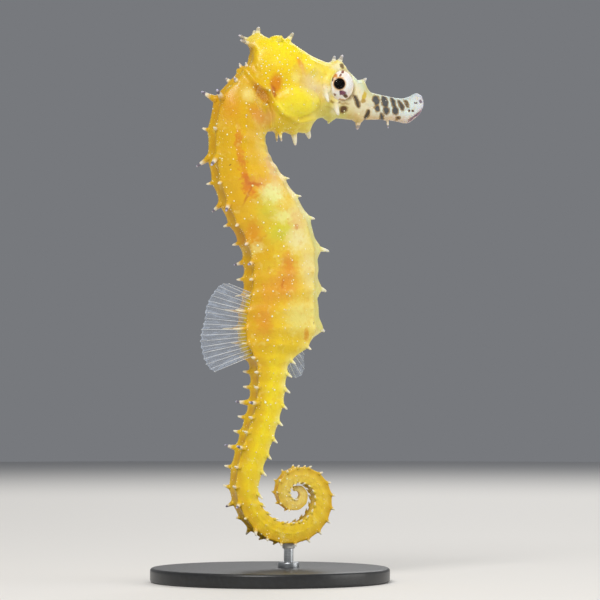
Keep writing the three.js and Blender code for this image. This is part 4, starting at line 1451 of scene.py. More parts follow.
SWELLINGS = [
    Swelling((3.5, 4.0, 79.9), (4.2, 4.5, 2.5), 0.85, -4, Form.PLATE),  # gill cover
    Swelling((8.3, 3.4, 80.2), (2.4, 3.0, 2.4), 0.3),  # cheek
    Swelling((6.6, 3.4, 83.9), (2.6, 3.0, 1.6), -0.35),  # hollow over the cheek
    Swelling((9.6, 2.4, 85.0), (2.6, 2.4, 1.3), 0.3, 10),  # brow
    Swelling((-2.6, 3.8, 81.3), (2.5, 3.0, 1.0), -0.8, 48),  # pectoral hollow
    Swelling((-1.7, 4.0, 79.35), (0.75, 3.0, 0.6), 0.45),  # knob below it
    Swelling((-1.4, 4.0, 81.9), (0.75, 3.0, 0.75), 0.5),  # knob of the shoulder
    Swelling((1.2, 0.4, 90.4), (1.7, 1.8, 1.6), 0.6),  # crown
    Swelling((-2.5, 0.4, 90.2), (1.4, 1.4, 1.4), 0.55),  # crown, rear
    Swelling((-3.7, 3.0, 88.2), (1.3, 2.6, 2.6), -0.6),  # hollow of the nape
    Swelling((6.5, 2.8, 85.9), (2.0, 2.6, 1.5), 0.4, 20),  # temple
    Swelling((1.0, 3.6, 85.4), (2.8, 3.0, 2.4), 0.3),  # side of the skull
    Swelling((-4.6, 3.6, 80.6), (1.4, 3.0, 1.6), 0.2),
    Swelling((15.3, 0.0, 82.8), (1.5, 0.9, 1.3), 0.35),  # nose
    Swelling((26.1, 0.0, 81.2), (1.3, 1.7, 1.4), 0.42),  # upper lip
]
FOLDS = [
    Fold(((-5.2, 85.6), (-3.6, 83.0), (-2.2, 82.1), (-1.1, 81.6), (-0.6, 80.6), (0.2, 79.2),
          (1.5, 77.8), (4.2, 76.8), (7.0, 77.4)), 0.44, 0.56),  # shoulder ridge
    Fold(((-1.8, 79.2), (-0.9, 77.8), (-0.6, 75.9)), 0.4, 0.45),
    Fold(((5.0, 88.4), (4.6, 86.6), (4.9, 84.8)), 0.4, -0.14),
    Fold(((6.4, 86.8), (9.0, 85.9), (11.0, 85.7)), 0.3, 0.16),
    Fold(((16.8, 79.4), (20.0, 79.2), (24.6, 78.9)), 0.35, -0.12),
    Fold(((27.1, 79.0), (26.4, 78.4), (25.5, 77.7), (24.5, 77.1)), 0.24, -0.5, 0.0),  # mouth
    Fold(((-4.4, 88.9), (-3.2, 87.6), (-3.0, 85.6)), 0.3, 0.2),
]


@dataclass(frozen=True)
class Eyeball:
    """Place and shape of the eyes, which look a little forward."""

    x: float = 11.9
    y: float = 2.2
    z: float = 82.85
    radius: float = 2.75
    forward: float = 25.0
    depth: float = 1.0  # of the ball's middle under the rim of its socket
    gaze: float = -20.0  # from straight sideways, to the front

    def ways(self, turn: float, side: int) -> tuple[np.ndarray, np.ndarray]:
        """Ways outward and ahead from an eye turned to the front by an angle in degrees."""
        sine, cosine = math.sin(math.radians(turn)), math.cos(math.radians(turn))
        return np.array([sine, side * cosine, 0.0]), np.array([cosine, -side * sine, 0.0])

    def ball(self, side: int) -> tuple[np.ndarray, np.ndarray, np.ndarray]:
        """Middle of an eyeball, the way it looks, and the way ahead across its face."""
        middle, out, _, _ = self.axes(side)
        return middle - self.depth * out, *self.ways(self.gaze, side)

    def axes(self, side: int) -> tuple[np.ndarray, np.ndarray, np.ndarray, np.ndarray]:
        """Middle of an eye, its ways outward and forward along its disc, and up."""
        middle = np.array([self.x, side * self.y, self.z])
        return middle, *self.ways(self.forward, side), np.array([0.0, 0.0, 1.0])

    def place(self, local: np.ndarray, side: int) -> np.ndarray:
        """Points in the head from points given forward, up and outward of an eye."""
        middle, out, ahead, up = self.axes(side)
        return middle + local[:, :1] * ahead + local[:, 1:2] * up + local[:, 2:3] * out


EYE = Eyeball()
LID_PLACE = -6.0  # along the body
SNOUT_ROOT = -6.5
# How closely warts stand, from 0 to 1: on the plates, more on the head, and on the ridges.
PLATE_WARTS = 0.11
HEAD_WARTS = 0.03
RIDGE_WARTS = {Ridge.SUPERIOR: 0.9, Ridge.LATERAL: 0.15, Ridge.INFERIOR: 0.35}
WART_BAND = 0.03  # half width of their band on a ridge, of the way round one side
SNOUT_WARTS = 0.15  # share that is left on the snout
GILL_COVER_BARE = 0.8  # share that is missing on the gill cover
BODY_CHART = 0.94  # of the bake map's width; the lids have the rest
LID_CHART = (0.95, 0.99)


@dataclass
class Skin:
    """The one skin of the animal."""

    around: int = 100  # points round each section
    rows: tuple[tuple[float, float, int], ...] = (
        (-13.0, -8.0, 105), (-8.0, 1.0, 270), (1.0, 13.0, 215), (13.0, 22.0, 120), (22.0, 47.0, 190),
    )
    lid_radius: float = 2.64
    lid_thickness: float = 0.14
    lid_height: float = 0.02
    lid_roundness: float = 1.3  # height of a lid's section, of its width
    socket_reach: float = 4.2  # from the middle of an eye to where its socket ends
    socket_fade: float = 3.2  # from where the lift towards the rim fades
    socket_lift: float = 2.4  # from where the skin is lifted to the rim
    socket_sink: float = 2.3  # up to where the skin lies deepest under the eye
    socket_floor: float = 0.75  # how deep that is
    rim_height: float = 0.08
    rim_fall: float = 1.3  # from the rim to the end of the socket
    temple_depth: float = 2.6  # of the side of the head that the sockets shape
    ridge_height: float = 0.1
    knob_height: float = 0.12
    ridge_width: float = 0.55  # in half steps between the corners of a section
    full_depth: float = 5.0  # half depth from which the ridges have their whole height
    # The relief's colours are painted shade in grooves and sunk folds, and pale tints on what stands
    # out.
    fold_tone: float = 0.3  # how far the relief's colours follow a fold, a web and a groove
    web_tone: float = 0.5
    highest_web: float = 0.6  # above which a web's colour changes no more
    groove_tone: float = 2.2
    web_reach: float = 1.5  # of a web from a thorn, in radii of its root
    web_margin: float = 0.25
    web_depth: float = 0.3  # below the root from where a web thins out
    thorns: list[Thorn] = field(default_factory=all_thorns)
    points: np.ndarray | None = None  # of the finished skin, row by row
    ways: np.ndarray | None = None  # out of it

    def places(self) -> np.ndarray:
        """Places of the rows of points, closest on the head."""
        runs = [np.linspace(low, high, count, endpoint=False) for low, high, count in self.rows]
        return np.concatenate([*runs, [self.rows[-1][1]]])

    def normals(self, points: np.ndarray) -> np.ndarray:
        """Ways out of a grid of points that closes round its columns."""
        down = np.gradient(points, axis=0)
        across = np.roll(points, -1, axis=1) - np.roll(points, 1, axis=1)
        normal = np.cross(across, down)
        size = np.linalg.norm(normal, axis=-1, keepdims=True)
        return normal / np.maximum(size, 1e-9)

    def ridges(self, places: np.ndarray, fold: np.ndarray) -> np.ndarray:
        """Height of the lengthwise ridges, with a knob on each where a ring crosses it."""
        rings = np.cos(math.pi * places) ** 2
        on_body = smoothstep(places, 0.8, 2.0)
        size = LINE.section(places).half_depth / self.full_depth
        knob = (self.ridge_height + self.knob_height * rings**3) * on_body * np.minimum(size, 1.0)
        height = np.zeros((len(places), len(fold)))
        for ridge in Ridge:
            away = (fold - ridge.value / PROFILE_STEPS) * 2 * PROFILE_STEPS
            height += np.exp(-((away / self.ridge_width) ** 2))[None, :] * knob[:, None]
        return height

    def webs(self, points: np.ndarray) -> np.ndarray:
        """Shifts that draw the skin up the thorns, so that it webs their feet."""
        shift = np.zeros(points.shape)
        most = np.zeros(points.shape[:-1])
        for thorn in self.thorns:
            reach = thorn.flare * (self.web_reach * thorn.radius + self.web_margin)
            way = (np.array(thorn.tip) - thorn.root) / thorn.length
            offset = points - np.array(thorn.root)
            above = offset @ way
            beside = np.linalg.norm(offset - above[..., None] * way, axis=-1)
            away = np.hypot(beside, 2 * np.maximum(-above - self.web_depth, 0)) / reach
            climb = thorn.web * np.clip(1 - away, 0, 1) ** 1.5 - np.maximum(above, 0)
            shift = np.where((climb > most)[..., None], climb[..., None] * way, shift)
            most = np.maximum(most, climb)
        return shift

    def sockets(self, points: np.ndarray) -> np.ndarray:
        """Draws the skin up to the rim of each eye and sinks it under the eye."""
        for side in (1, -1):
            middle, out, ahead, up = EYE.axes(side)
            offset = points - middle
            depth = offset @ out
            away = np.hypot(offset @ ahead, offset @ up)
            beside = depth > -self.temple_depth
            rim = self.rim_height - self.rim_fall * smoothstep(away, self.lid_radius, self.socket_reach)
            lift = np.where(beside & (away < self.socket_reach), np.maximum(rim - depth, 0), 0)
            lift *= 1 - smoothstep(away, self.socket_fade, self.socket_reach)
            hollow = 1 - smoothstep(away, self.socket_sink, self.lid_radius)
            under = np.where(beside, np.minimum(-self.socket_floor - depth, 0) * hollow, 0)
            shift = np.where(away < self.lid_radius, under + lift * (away > self.socket_lift), lift)
            points = points + shift[..., None] * out
        return points

    def lids(self) -> tuple[np.ndarray, np.ndarray]:
        """Rings of skin round the eyes, as points and faces of closed tubes."""
        steps, sides = 72, 10
        angles = np.arange(steps)[:, None] * TURN / steps
        turns = np.arange(sides) * TURN / sides
        radius = self.lid_radius + self.lid_thickness * np.cos(turns)
        height = self.lid_height + self.lid_roundness * self.lid_thickness * np.sin(turns)
        ring = np.broadcast_arrays(radius * np.cos(angles), radius * np.sin(angles), height)
        ring = np.stack(ring, axis=-1).reshape(-1, 3)
        loop = grid_faces(steps + 1, sides, True) % len(ring)
        points = [EYE.place(ring, side) for side in (1, -1)]
        return np.vstack(points), np.vstack([loop, loop[:, ::-1] + len(ring)])

    def build(self, material: Material) -> Object:
        """Makes the skin.

        Args:
            material: its finish.

        Returns:
            The skin, with its attributes and bake map.
        """
        places = self.places()
        turns = np.arange(self.around) * 2 / self.around
        fold = 1 - np.abs(1 - turns)
        points = LINE.surface(places, turns)
        normal = self.normals(points)
        ridges = self.ridges(places, fold)
        swellings = sum(swelling.rise(points) for swelling in SWELLINGS)
        folds = sum(fold_line.rise(points) for fold_line in FOLDS)
        points = self.sockets(points + (ridges + swellings + folds)[..., None] * normal)
        webs = self.webs(points)
        points += webs
        self.points, self.ways = points, self.normals(points)

        rows, columns = points.shape[:2]
        lid_points, lid_faces = self.lids()
        ends = np.stack([points[0].mean(axis=0), points[-1].mean(axis=0)])
        vertices = np.vstack([points.reshape(-1, 3), ends, lid_points])
        faces = shell_faces(rows, columns) + (lid_faces + rows * columns + len(ends)).tolist()
        skin = new_object("seahorse_skin", vertices, faces, material)
        climb = np.minimum(np.linalg.norm(webs, axis=-1), self.highest_web)
        relief = ridges + self.fold_tone * folds + self.web_tone * climb
        relief -= groove_at(places)[:, None] * self.groove_tone
        self.store(skin.data, places, fold, relief, len(lid_points))
        self.chart(skin.data, rows, columns, len(lid_faces))
        outward(skin)
        return skin

    def store(
        self, mesh: Mesh, places: np.ndarray, fold: np.ndarray, relief: np.ndarray, lids: int
    ) -> None:
        """Stores where each point lies on the body and how far it stands out."""
        rows, columns = relief.shape
        along = np.repeat(places, columns)
        around = np.tile(fold, rows)
        pad = np.zeros(2 + lids)
        ends = [places[0], places[-1]]
        set_values(mesh, "place", np.concatenate([along, ends, np.full(lids, LID_PLACE)]))
        set_values(mesh, "around", np.concatenate([around, pad + 0.5]))
        set_values(mesh, "relief", np.concatenate([relief.ravel(), pad]))
        set_values(mesh, "tip", np.zeros(len(mesh.vertices)))
        warts = self.wart_share(along, around, grid_points(mesh, rows * columns))
        set_values(mesh, "warts", np.concatenate([warts, pad]))

    def wart_share(self, along: np.ndarray, around: np.ndarray, points: np.ndarray) -> np.ndarray:
        """How closely warts stand at points of the skin, from their places and positions."""
        head = smoothstep(along, -4.5, -3.5) * (1 - smoothstep(along, 0.5, 2.0))
        share = PLATE_WARTS + HEAD_WARTS * head
        for ridge, more in RIDGE_WARTS.items():
            crest = np.exp(-(((around - ridge.value / PROFILE_STEPS) / WART_BAND) ** 2))
            share += more * crest * (along > 0)
        share *= np.where(along < SNOUT_ROOT, SNOUT_WARTS, 1.0)
        share *= 1 - GILL_COVER_BARE * np.clip(SWELLINGS[0].rise(points), 0, 1)
        return np.clip(share, 0, 1)

    def chart(self, mesh: Mesh, rows: int, columns: int, lids: int) -> None:
        """Lays the skin out flat on the bake map, row by row, and its lids beside it."""
        i = np.arange(rows - 1)[:, None]
        j = np.arange(columns)[None, :]
        corners = [(j, i), (j + 1, i), (j + 1, i + 1), (j, i + 1)]
        spots = [np.broadcast_arrays(u / columns * BODY_CHART, v / rows) for u, v in corners]
        quads = np.stack([np.stack(s, axis=-1) for s in spots], axis=2).reshape(-1, 2)
        caps = []
        for level, corners in ((0.0, (0, 1, 0)), ((rows - 1) / rows, (0, 0, 1))):
            caps += [((c + k) / columns * BODY_CHART, level) for c in range(columns) for k in corners]
        share = np.arange(lids)[:, None, None] / lids
        left, right = LID_CHART
        top = 0.9 / lids
        square = np.array([(left, 0.0), (right, 0.0), (right, top), (left, top)])[None]
        rings = square + share * np.array([0.0, 1.0])
        layer = mesh.uv_layers.new(name=BAKE_MAP)
        chart = np.vstack([quads, caps, rings.reshape(-1, 2)])
        layer.data.foreach_set("uv", chart.astype(np.float32).ravel())


def grid_points(mesh: Mesh, count: int) -> np.ndarray:
    """First points of a mesh, in millimetres."""
    found = np.zeros(len(mesh.vertices) * 3, np.float32)
    mesh.vertices.foreach_get("co", found)
    return found.reshape(-1, 3)[:count] / MM


# ------------------------------------------------------------ what grows on the skin


@dataclass
class Thorns:
    """All thorns of the animal, as one piece."""

    profile: tuple[Pair, ...] = (
        (0.0, -0.3), (1.0, -0.3), (1.0, 0.0), (0.83, 0.12), (0.68, 0.28), (0.56, 0.46),
        (0.46, 0.66), (0.38, 0.82), (0.29, 0.93), (0.16, 0.985), (0.0, 1.0),
    )
    sides: int = 12
    bend: float = 0.35  # of a thorn's tip, in radii of its root

    def template(self) -> Object:
        """One thorn of unit size, with a little bend."""
        vertices, faces = lathe(list(self.profile), self.sides)
        up = np.clip(vertices[:, 2], 0, 1)
        vertices[:, 0] += self.bend * up**2
        shape = small_shape("thorn_shape", vertices, faces)
        set_values(shape.data, "tip", up)
        return shape

    def build(self, skin: Skin, material: Material) -> Object:
        """Makes the thorns that stand on a skin."""
        roots, tips, radii, dusk, glass = (
            np.array([getattr(thorn, key) for thorn in skin.thorns])
            for key in ("root", "tip", "radius", "dusk", "glass")
        )
        places, around = self.root_places(roots)
        ways = tips - roots
        return stand(
            "thorns", roots, ways, self.template(), material, length=np.linalg.norm(ways, axis=1) * MM,
            radius=radii * MM, dusk=dusk, glass=glass, place=places, around=around,
        )

    def root_places(self, roots: np.ndarray) -> tuple[np.ndarray, np.ndarray]:
        """Place along and share around the body nearest to each root."""
        places = np.linspace(LIPS, LAST_RING, 601)
        turns = np.linspace(0, 1, 29)
        points = LINE.surface(places, turns)
        folded = roots.copy()
        folded[:, 1] = np.abs(folded[:, 1])
        along, around = [], []
        for root in folded:
            gap = np.linalg.norm(points - root, axis=-1)
            i, j = np.unravel_index(np.argmin(gap), gap.shape)
            along.append(places[i])
            around.append(turns[j])
        return np.array(along), np.array(around)


@dataclass
class Warts:
    """Fine white warts, closest on the head and along the ridges."""

    spacing: float = 0.36
    density: float = 4.0  # warts on each square millimetre where they are closest
    smallest: float = 0.05
    largest: float = 0.15
    seed: int = 7

    def build(self, skin: Object, material: Material) -> Object:
        """Makes the warts on a skin."""
        shape = wart_shape()
        warts = grow(
            "warts", skin, wart_growth(), Wart=shape, Finish=material,
            Spacing=self.spacing * MM, Density=self.density / MM**2,
            Smallest=self.smallest * MM, Largest=self.largest * MM, Seed=self.seed,
        )
        tile_map(warts.data, len(warts.data.polygons) // len(shape.data.polygons))
        discard(shape)
        return warts


@dataclass
class Dots:
    """Larger white dots at set places of head, trunk and tail, the same on both sides."""

    flatness: float = 0.8
    least_y: float = 0.25
    lean: float = 0.364  # of the way the dots are laid on, from straight sideways
    level: float = 3.5  # distance from the plane of symmetry where x is true

    def build(self, skin: Skin, material: Material) -> Object:
        """Makes the dots on a finished skin."""
        spots = []
        laid = skin.points[..., 0] + self.lean * (np.abs(skin.points[..., 1]) - self.level)
        for side in (1, -1):
            beside = side * skin.points[..., 1] > self.least_y
            for x, z, _ in WHITE_DOTS:
                gap = np.where(beside, np.hypot(laid - x, skin.points[..., 2] - z), np.inf)
                spots.append(np.unravel_index(np.argmin(gap), gap.shape))
        spots = tuple(np.array(spots).T)
        radii = np.array([radius for _, _, radius in WHITE_DOTS] * 2) * MM
        return stand("dots", skin.points[spots], skin.ways[spots], wart_shape(), material,
                     length=radii * self.flatness, radius=radii)


# --------------------------------------------------------------------------- fins


@dataclass(frozen=True)
class Rays:
    """Tapering rays of a fin, with beads along them."""

    root: float = 0.07  # radius
    tip: float = 0.03  # radius
    spacing: float = 0.62  # of the beads
    smallest: float = 0.05
    largest: float = 0.12
    seed: int = 3

    def build(self, name: str, points: np.ndarray, material: Material) -> Object:
        """Makes the rays.

        Args:
            name: the fin's name.
            points: points along each ray, from its root out.
            material: their finish.

        Returns:
            The rays and beads as one piece.
        """
        rays, steps = points.shape[:2]
        pairs = [(r * steps + k, r * steps + k + 1) for r in range(rays) for k in range(steps - 1)]
        mesh = bpy.data.meshes.new("ray_lines")
        mesh.from_pydata((points.reshape(-1, 3) * MM).tolist(), pairs, [])
        lines, bead = linked("ray_lines", mesh), wart_shape()
        made = grow(
            f"{name}_rays", lines, ray_growth(), Finish=material, Bead=bead,
            Root_Radius=self.root * MM, Tip_Radius=self.tip * MM, Bead_Spacing=self.spacing * MM,
            Smallest=self.smallest * MM, Largest=self.largest * MM, Seed=self.seed,
        )
        discard(lines, bead)
        return made


@dataclass
class MedianFin:
    """A fin in the plane of symmetry: clear skin on tapering, beaded rays."""

    name: str
    node: str
    root: Pair
    corner: int
    edge: tuple[Pair, ...]
    rays: int
    ray_span: Pair
    thickness: float = 0.06
    scallop: float = 0.025  # dip of the edge between rays, of their length
    billow: float = 0.1  # of the skin between rays, to one side
    wave: float = 0.35  # of the whole fin, to either side
    waves: float = 1.1  # along the edge
    sunk: float = 0.35

    def root_points(self, share: np.ndarray) -> np.ndarray:
        """Points a little under the skin along the root of the fin."""
        places = self.root[0] + (self.root[1] - self.root[0]) * share
        turn = np.array([self.corner / PROFILE_STEPS])
        points = LINE.surface(places, turn)[:, 0]
        inward = -1.0 if self.corner == 0 else 1.0
        return points + inward * self.sunk * LINE.section(places).up

    def edge_points(self, share: np.ndarray) -> np.ndarray:
        """Points along the free edge, on a smooth curve through its corners."""
        corners = np.array(self.edge)
        padded = np.vstack([2 * corners[0] - corners[1], corners, 2 * corners[-1] - corners[-2]])
        gone = np.concatenate([[0.0], np.cumsum(np.linalg.norm(np.diff(corners, axis=0), axis=1))])
        where = np.interp(share * gone[-1], gone, np.arange(len(corners)))
        flat = smooth_curve(padded, where)
        return np.stack([flat[:, 0], np.zeros(len(flat)), flat[:, 1]], axis=-1)

    def along_root(self, edge_share: np.ndarray) -> np.ndarray:
        """Shares of the root from which shares of the edge grow: 0 first ray, 1 last ray."""
        low, high = self.ray_span
        return np.clip((edge_share - low) / (high - low), 0, 1)

    def sheet(self, edge_share: np.ndarray, out: np.ndarray) -> np.ndarray:
        """Points of the fin at shares along its edge and shares out from its root."""
        root_share = self.along_root(edge_share)
        root = self.root_points(root_share)[:, None, :]
        edge = self.edge_points(edge_share)[:, None, :]
        between = np.sin(math.pi * (root_share * (self.rays - 1)))[:, None]
        points = root + (edge - root) * out[None, :, None] * (1 - self.scallop * between[..., None] ** 2)
        sway = np.sin(self.waves * TURN * edge_share)[:, None]
        points[..., 1] += self.billow * between * out[None, :] ** 0.5
        points[..., 1] += self.wave * sway * out[None, :] ** 2
        return points

    def membrane(self, material: Material) -> Object:
        """Makes the clear skin of the fin."""
        along = np.linspace(0, 1, 10 * self.rays)
        out = np.linspace(0, 1, 34)
        points = self.sheet(along, out)
        rows, columns = points.shape[:2]
        faces = grid_faces(rows, columns, False).tolist()
        sheet = new_object(f"{self.name}_sheet", points.reshape(-1, 3), faces, material)
        set_values(sheet.data, "out", np.tile(out, rows))
        set_values(sheet.data, "rib", np.repeat(self.along_root(along) * (self.rays - 1), columns))
        wall = sheet.modifiers.new("wall", "SOLIDIFY")
        wall.thickness = self.thickness * MM
        wall.offset = 0.0
        made = evaluated(sheet, self.name)
        discard(sheet)
        return made

    def bars(self, material: Material) -> Object:
        """Makes the rays and the beads on them."""
        points = self.sheet(np.linspace(*self.ray_span, self.rays), np.linspace(0, 1, 14) * 0.995)
        return Rays().build(self.name, points, material)

    def build(self, clear: Material, ray: Material) -> None:
        """Makes the fin and settles it on the body."""
        settle(self.membrane(clear), "fin", self.node)
        settle(self.bars(ray), "fin", self.node)


DORSAL_FIN = MedianFin(
    name="dorsal_fin_skin",
    node="dorsal_fin",
    root=(9.95, 13.8),
    corner=0,
    edge=(
        (-4.4, 48.5), (-6.3, 49.4), (-7.5, 49.75), (-8.7, 49.5), (-9.7, 48.5), (-10.6, 47.2),
        (-11.3, 45.5), (-11.55, 43.6), (-12.1, 42.0), (-12.35, 40.2), (-12.1, 38.2),
        (-11.4, 36.4), (-10.5, 35.35), (-9.8, 35.1), (-9.1, 35.7), (-7.7, 37.0), (-6.0, 38.0),
        (-4.7, 38.3),
    ),
    rays=19,
    ray_span=(0.11, 0.77),
)
ANAL_FIN = MedianFin(
    name="anal_fin_skin",
    node="anal_fin",
    root=(13.15, 13.9),
    corner=PROFILE_STEPS,
    edge=(
        (5.3, 38.6), (6.1, 38.0), (6.15, 36.7), (6.1, 35.4), (5.5, 34.4), (4.5, 34.05),
        (3.7, 34.4), (3.1, 35.6), (3.0, 36.6),
    ),
    rays=6,
    ray_span=(0.12, 0.78),
)


@dataclass
class PectoralFin:
    """Small clear fan behind the gill cover of one side."""

    root: Point = (-1.6, 3.75, 80.6)
    ray: float = 2.6  # length of a ray from the point where they would meet
    least: float = 0.25  # from there to the root of the skin
    spread: float = 52.0
    outward: float = 14.0
    droop: float = -4.0
    rays: int = 10
    scallop: float = 0.04
    billow: float = 0.05
    thickness: float = 0.05

    def sheet(self, shares: np.ndarray, out: np.ndarray, side: int) -> np.ndarray:
        """Points of the fan at shares across it and shares out along its rays."""
        fan = np.radians(self.droop + self.spread * (1 - 2 * shares))[:, None]
        lift = math.radians(self.outward)
        between = np.sin(math.pi * (shares[:, None] * (self.rays - 1)))
        reach = (self.least + (self.ray - self.least) * out)[None, :]
        reach = reach * (1 - self.scallop * between**2)
        back = reach * np.cos(fan)
        x = self.root[0] - back * math.cos(lift)
        y = self.root[1] + back * math.sin(lift) + self.billow * between * out[None, :]
        z = self.root[2] + reach * np.sin(fan)
        return np.stack([x, side * y, z], axis=-1)

    def membrane(self, name: str, side: int, material: Material) -> Object:
        """Makes the clear skin of one fan."""
        out = np.linspace(0, 1, 16)
        points = self.sheet(np.linspace(0, 1, 8 * self.rays), out, side)
        back = points.copy()
        back[..., 1] -= side * self.thickness
        ring = np.concatenate([points, back[:, ::-1]], axis=1)
        rows, columns = ring.shape[:2]
        ends = np.arange(rows * columns).reshape(rows, columns)[[0, -1]].tolist()
        faces = grid_faces(rows, columns, True).tolist() + [ends[0][::-1], ends[1]]
        fan = new_object(f"{name}_skin", ring.reshape(-1, 3), faces, material)
        set_values(fan.data, "out", np.tile(np.concatenate([out, out[::-1]]), rows))
        set_values(fan.data, "rib", np.repeat(np.linspace(0, self.rays, rows), columns))
        outward(fan)
        return fan

    def bars(self, name: str, side: int, material: Material) -> Object:
        """Makes the rays of one fan, in the middle of its skin."""
        points = self.sheet(np.linspace(0, 1, self.rays), np.linspace(0, 1, 8) * 0.99, side)
        points[..., 1] -= side * self.thickness / 2
        rays = Rays(root=0.03, tip=0.015, spacing=0.9, smallest=0.015, largest=0.03, seed=5)
        return rays.build(name, points, material)

    def build(self, clear: Material, ray: Material) -> None:
        """Makes both fins and settles them."""
        for side, name in ((1, "pectoral_fin_left"), (-1, "pectoral_fin_right")):
            settle(self.membrane(name, side, clear), "fin", name)
            settle(self.bars(name, side, ray), "fin", name)


# --------------------------------------------------------------------------- eyes


@dataclass
class Eyes:
    """The two eyes: a patterned ball with a sunken pupil, under a clear dome."""

    steps: int = 96
    pupil_profile: tuple[Pair, ...] = (
        (0.3, -0.5), (0.6, -0.49), (0.76, -0.44), (0.83, -0.3), (0.86, -0.12), (0.9, -0.02),
        (0.97, 0.03), (1.08, 0.02), (1.2, 0.0),
    )
    ball_turns: tuple[float, float, int] = (30.0, 140.0, 26)  # polar angles and rings
    dome_gap: float = 0.02  # between ball and dome
    dome_sink: float = 0.03  # of the dome's rim towards the ball
    dome_height: float = 0.22
    dome_turn: float = 62.0
    wall: float = 0.06
    rim_thinning: float = 0.9  # share of the wall that is missing at the rim

    def frame(self, side: int) -> tuple[np.ndarray, np.ndarray, np.ndarray, np.ndarray]:
        """Middle of a ball, the way through its pupil, and two ways across it."""
        middle, look, ahead = EYE.ball(side)
        at, up = IrisFinish.pupil_at, np.array([0.0, 0.0, 1.0])
        depth = math.sqrt(EYE.radius**2 - at[0] ** 2 - at[1] ** 2)
        pole = (at[0] * ahead + at[1] * up + depth * look) / EYE.radius
        across = np.cross(up, pole)
        across /= np.linalg.norm(across)
        return middle, pole, across, np.cross(pole, across)

    def turned(self, name: str, side: int, profile: list[Pair], material: Material) -> Object:
        """Makes a closed shape turned about a pupil's way.

        Args:
            name: the piece's name.
            side: 1 for the left eye and -1 for the right.
            profile: distances from the way and along it from the ball's middle; both
                ends lie on the way.
            material: its finish.

        Returns:
            The piece, with its map of the disc.
        """
        middle, pole, across, upward = self.frame(side)
        local, faces = lathe(profile, self.steps)
        points = middle + local[:, :1] * across + local[:, 1:2] * upward + local[:, 2:3] * pole
        piece = new_object(name, points, faces, material)
        _, _, ahead = EYE.ball(side)
        flat = np.stack([(points - middle) @ ahead, (points - middle)[:, 2]], axis=-1) / 10 + 0.5
        corners = np.zeros(len(piece.data.loops), np.int32)
        piece.data.loops.foreach_get("vertex_index", corners)
        chart = piece.data.uv_layers.new(name=EYE_MAP)
        chart.data.foreach_set("uv", flat[corners].astype(np.float32).ravel())
        outward(piece)
        return piece

    def ball(self) -> list[Pair]:
        """Profile of the ball with its pupil."""
        profile = [(0.0, EYE.radius - 0.5)]
        for away, rise in self.pupil_profile:
            profile.append((away, math.sqrt(EYE.radius**2 - away**2) + rise))
        low, high, count = self.ball_turns
        for angle in np.radians(np.linspace(low, high, count)):
            profile.append((EYE.radius * math.sin(angle), EYE.radius * math.cos(angle)))
        profile.append((0.0, -0.8 * EYE.radius))
        return profile

    def dome(self) -> list[Pair]:
        """Profile of the clear dome: out over the front and back inside it."""
        profile = []
        for inset, turns in ((0.0, np.linspace(0, self.dome_turn, 16)),
                             (self.wall, np.linspace(self.dome_turn, 0, 16))):
            for turn in turns:
                share = turn / self.dome_turn
                radius = EYE.radius + self.dome_gap - self.dome_sink * share
                radius += self.dome_height * (1 - share**2) ** 2
                radius += self.wall * (1 - share) - inset * (1 - self.rim_thinning * share)
                angle = math.radians(float(turn))
                profile.append((radius * math.sin(angle), radius * math.cos(angle)))
        profile[0] = (0.0, profile[0][1])
        profile[-1] = (0.0, profile[-1][1])
        return profile

    def build(self, iris: Material, clear: Material) -> None:
        """Makes both eyes and settles them."""
        for side, node in ((1, "eye_left"), (-1, "eye_right")):
            settle(self.turned(f"{node}_ball", side, self.ball(), iris), "eye", node)
            settle(self.turned(f"{node}_cornea", side, self.dome(), clear), "eye", node)


# -------------------------------------------------------------------------- stand


@dataclass
class Stand:
    """Plain display stand: a turned disc, a rod with a collar, and a soft cap."""

    radius: float = 20.0
    height: float = 2.4
    edge: float = 0.5
    rod_radius: float = 0.8
    collar_radius: float = 1.75
    rod_edge: float = 0.12
    rod_sunk: float = 0.4  # of the rod's foot in the disc
    collar_height: float = 0.9
    collar_edge: float = 0.25
    collar_sunk: float = 0.2
    cap_wall: float = 0.25
    cap_depth: float = 0.7
    cap_edge: float = 0.2
    steps: int = 160

    def rounded(self, radius: float, low: float, high: float, edge: float) -> list[Pair]:
        """Profile of a disc with rounded edges."""
        corners = [(radius - edge, low + edge, -90), (radius - edge, high - edge, 0)]
        profile = [(0.0, low)]
        for x, z, start in corners:
            for k in range(7):
                angle = math.radians(start + 15 * k)
                profile.append((x + edge * math.cos(angle), z + edge * math.sin(angle)))
        profile.append((0.0, high))
        return profile

    def turned(self, name: str, profile: list[Pair], x: float, material: Material) -> Object:
        """Makes a turned piece that stands at x."""
        vertices, faces = lathe(profile, self.steps)
        vertices[:, 0] += x
        piece = new_object(name, vertices, faces, material)
        outward(piece)
        return piece

    def build(self, base: Material, steel: Material, soft: Material) -> None:
        """Makes the stand and settles it."""
        low, high = (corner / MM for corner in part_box("stand_rod"))
        x = (low.x + high.x) / 2
        disc = self.rounded(self.radius, 0.0, self.height, self.edge)
        settle(self.turned("base_disc", disc, 0.0, base), "base", "stand_base")
        top = self.height
        rod = self.rounded(self.rod_radius, top - self.rod_sunk, high.z, self.rod_edge)
        collar = self.rounded(
            self.collar_radius, top - self.collar_sunk, top + self.collar_height, self.collar_edge
        )
        cap = self.rounded(
            self.rod_radius + self.cap_wall, high.z - self.cap_depth, high.z + self.cap_wall,
            self.cap_edge,
        )
        for name, profile, finish in (
            ("rod", rod, steel), ("rod_collar", collar, steel), ("rod_cap", cap, soft),
        ):
            settle(self.turned(name, profile, x, finish), "rod", "stand_rod")


# ------------------------------------------------------------------------- studio


@dataclass(frozen=True)
class SoftLight:
    """A square soft light: where it stands, its side and its power."""

    name: str
    at: Point
    side: float
    power: float
    colour: Point = (1.0, 1.0, 1.0)


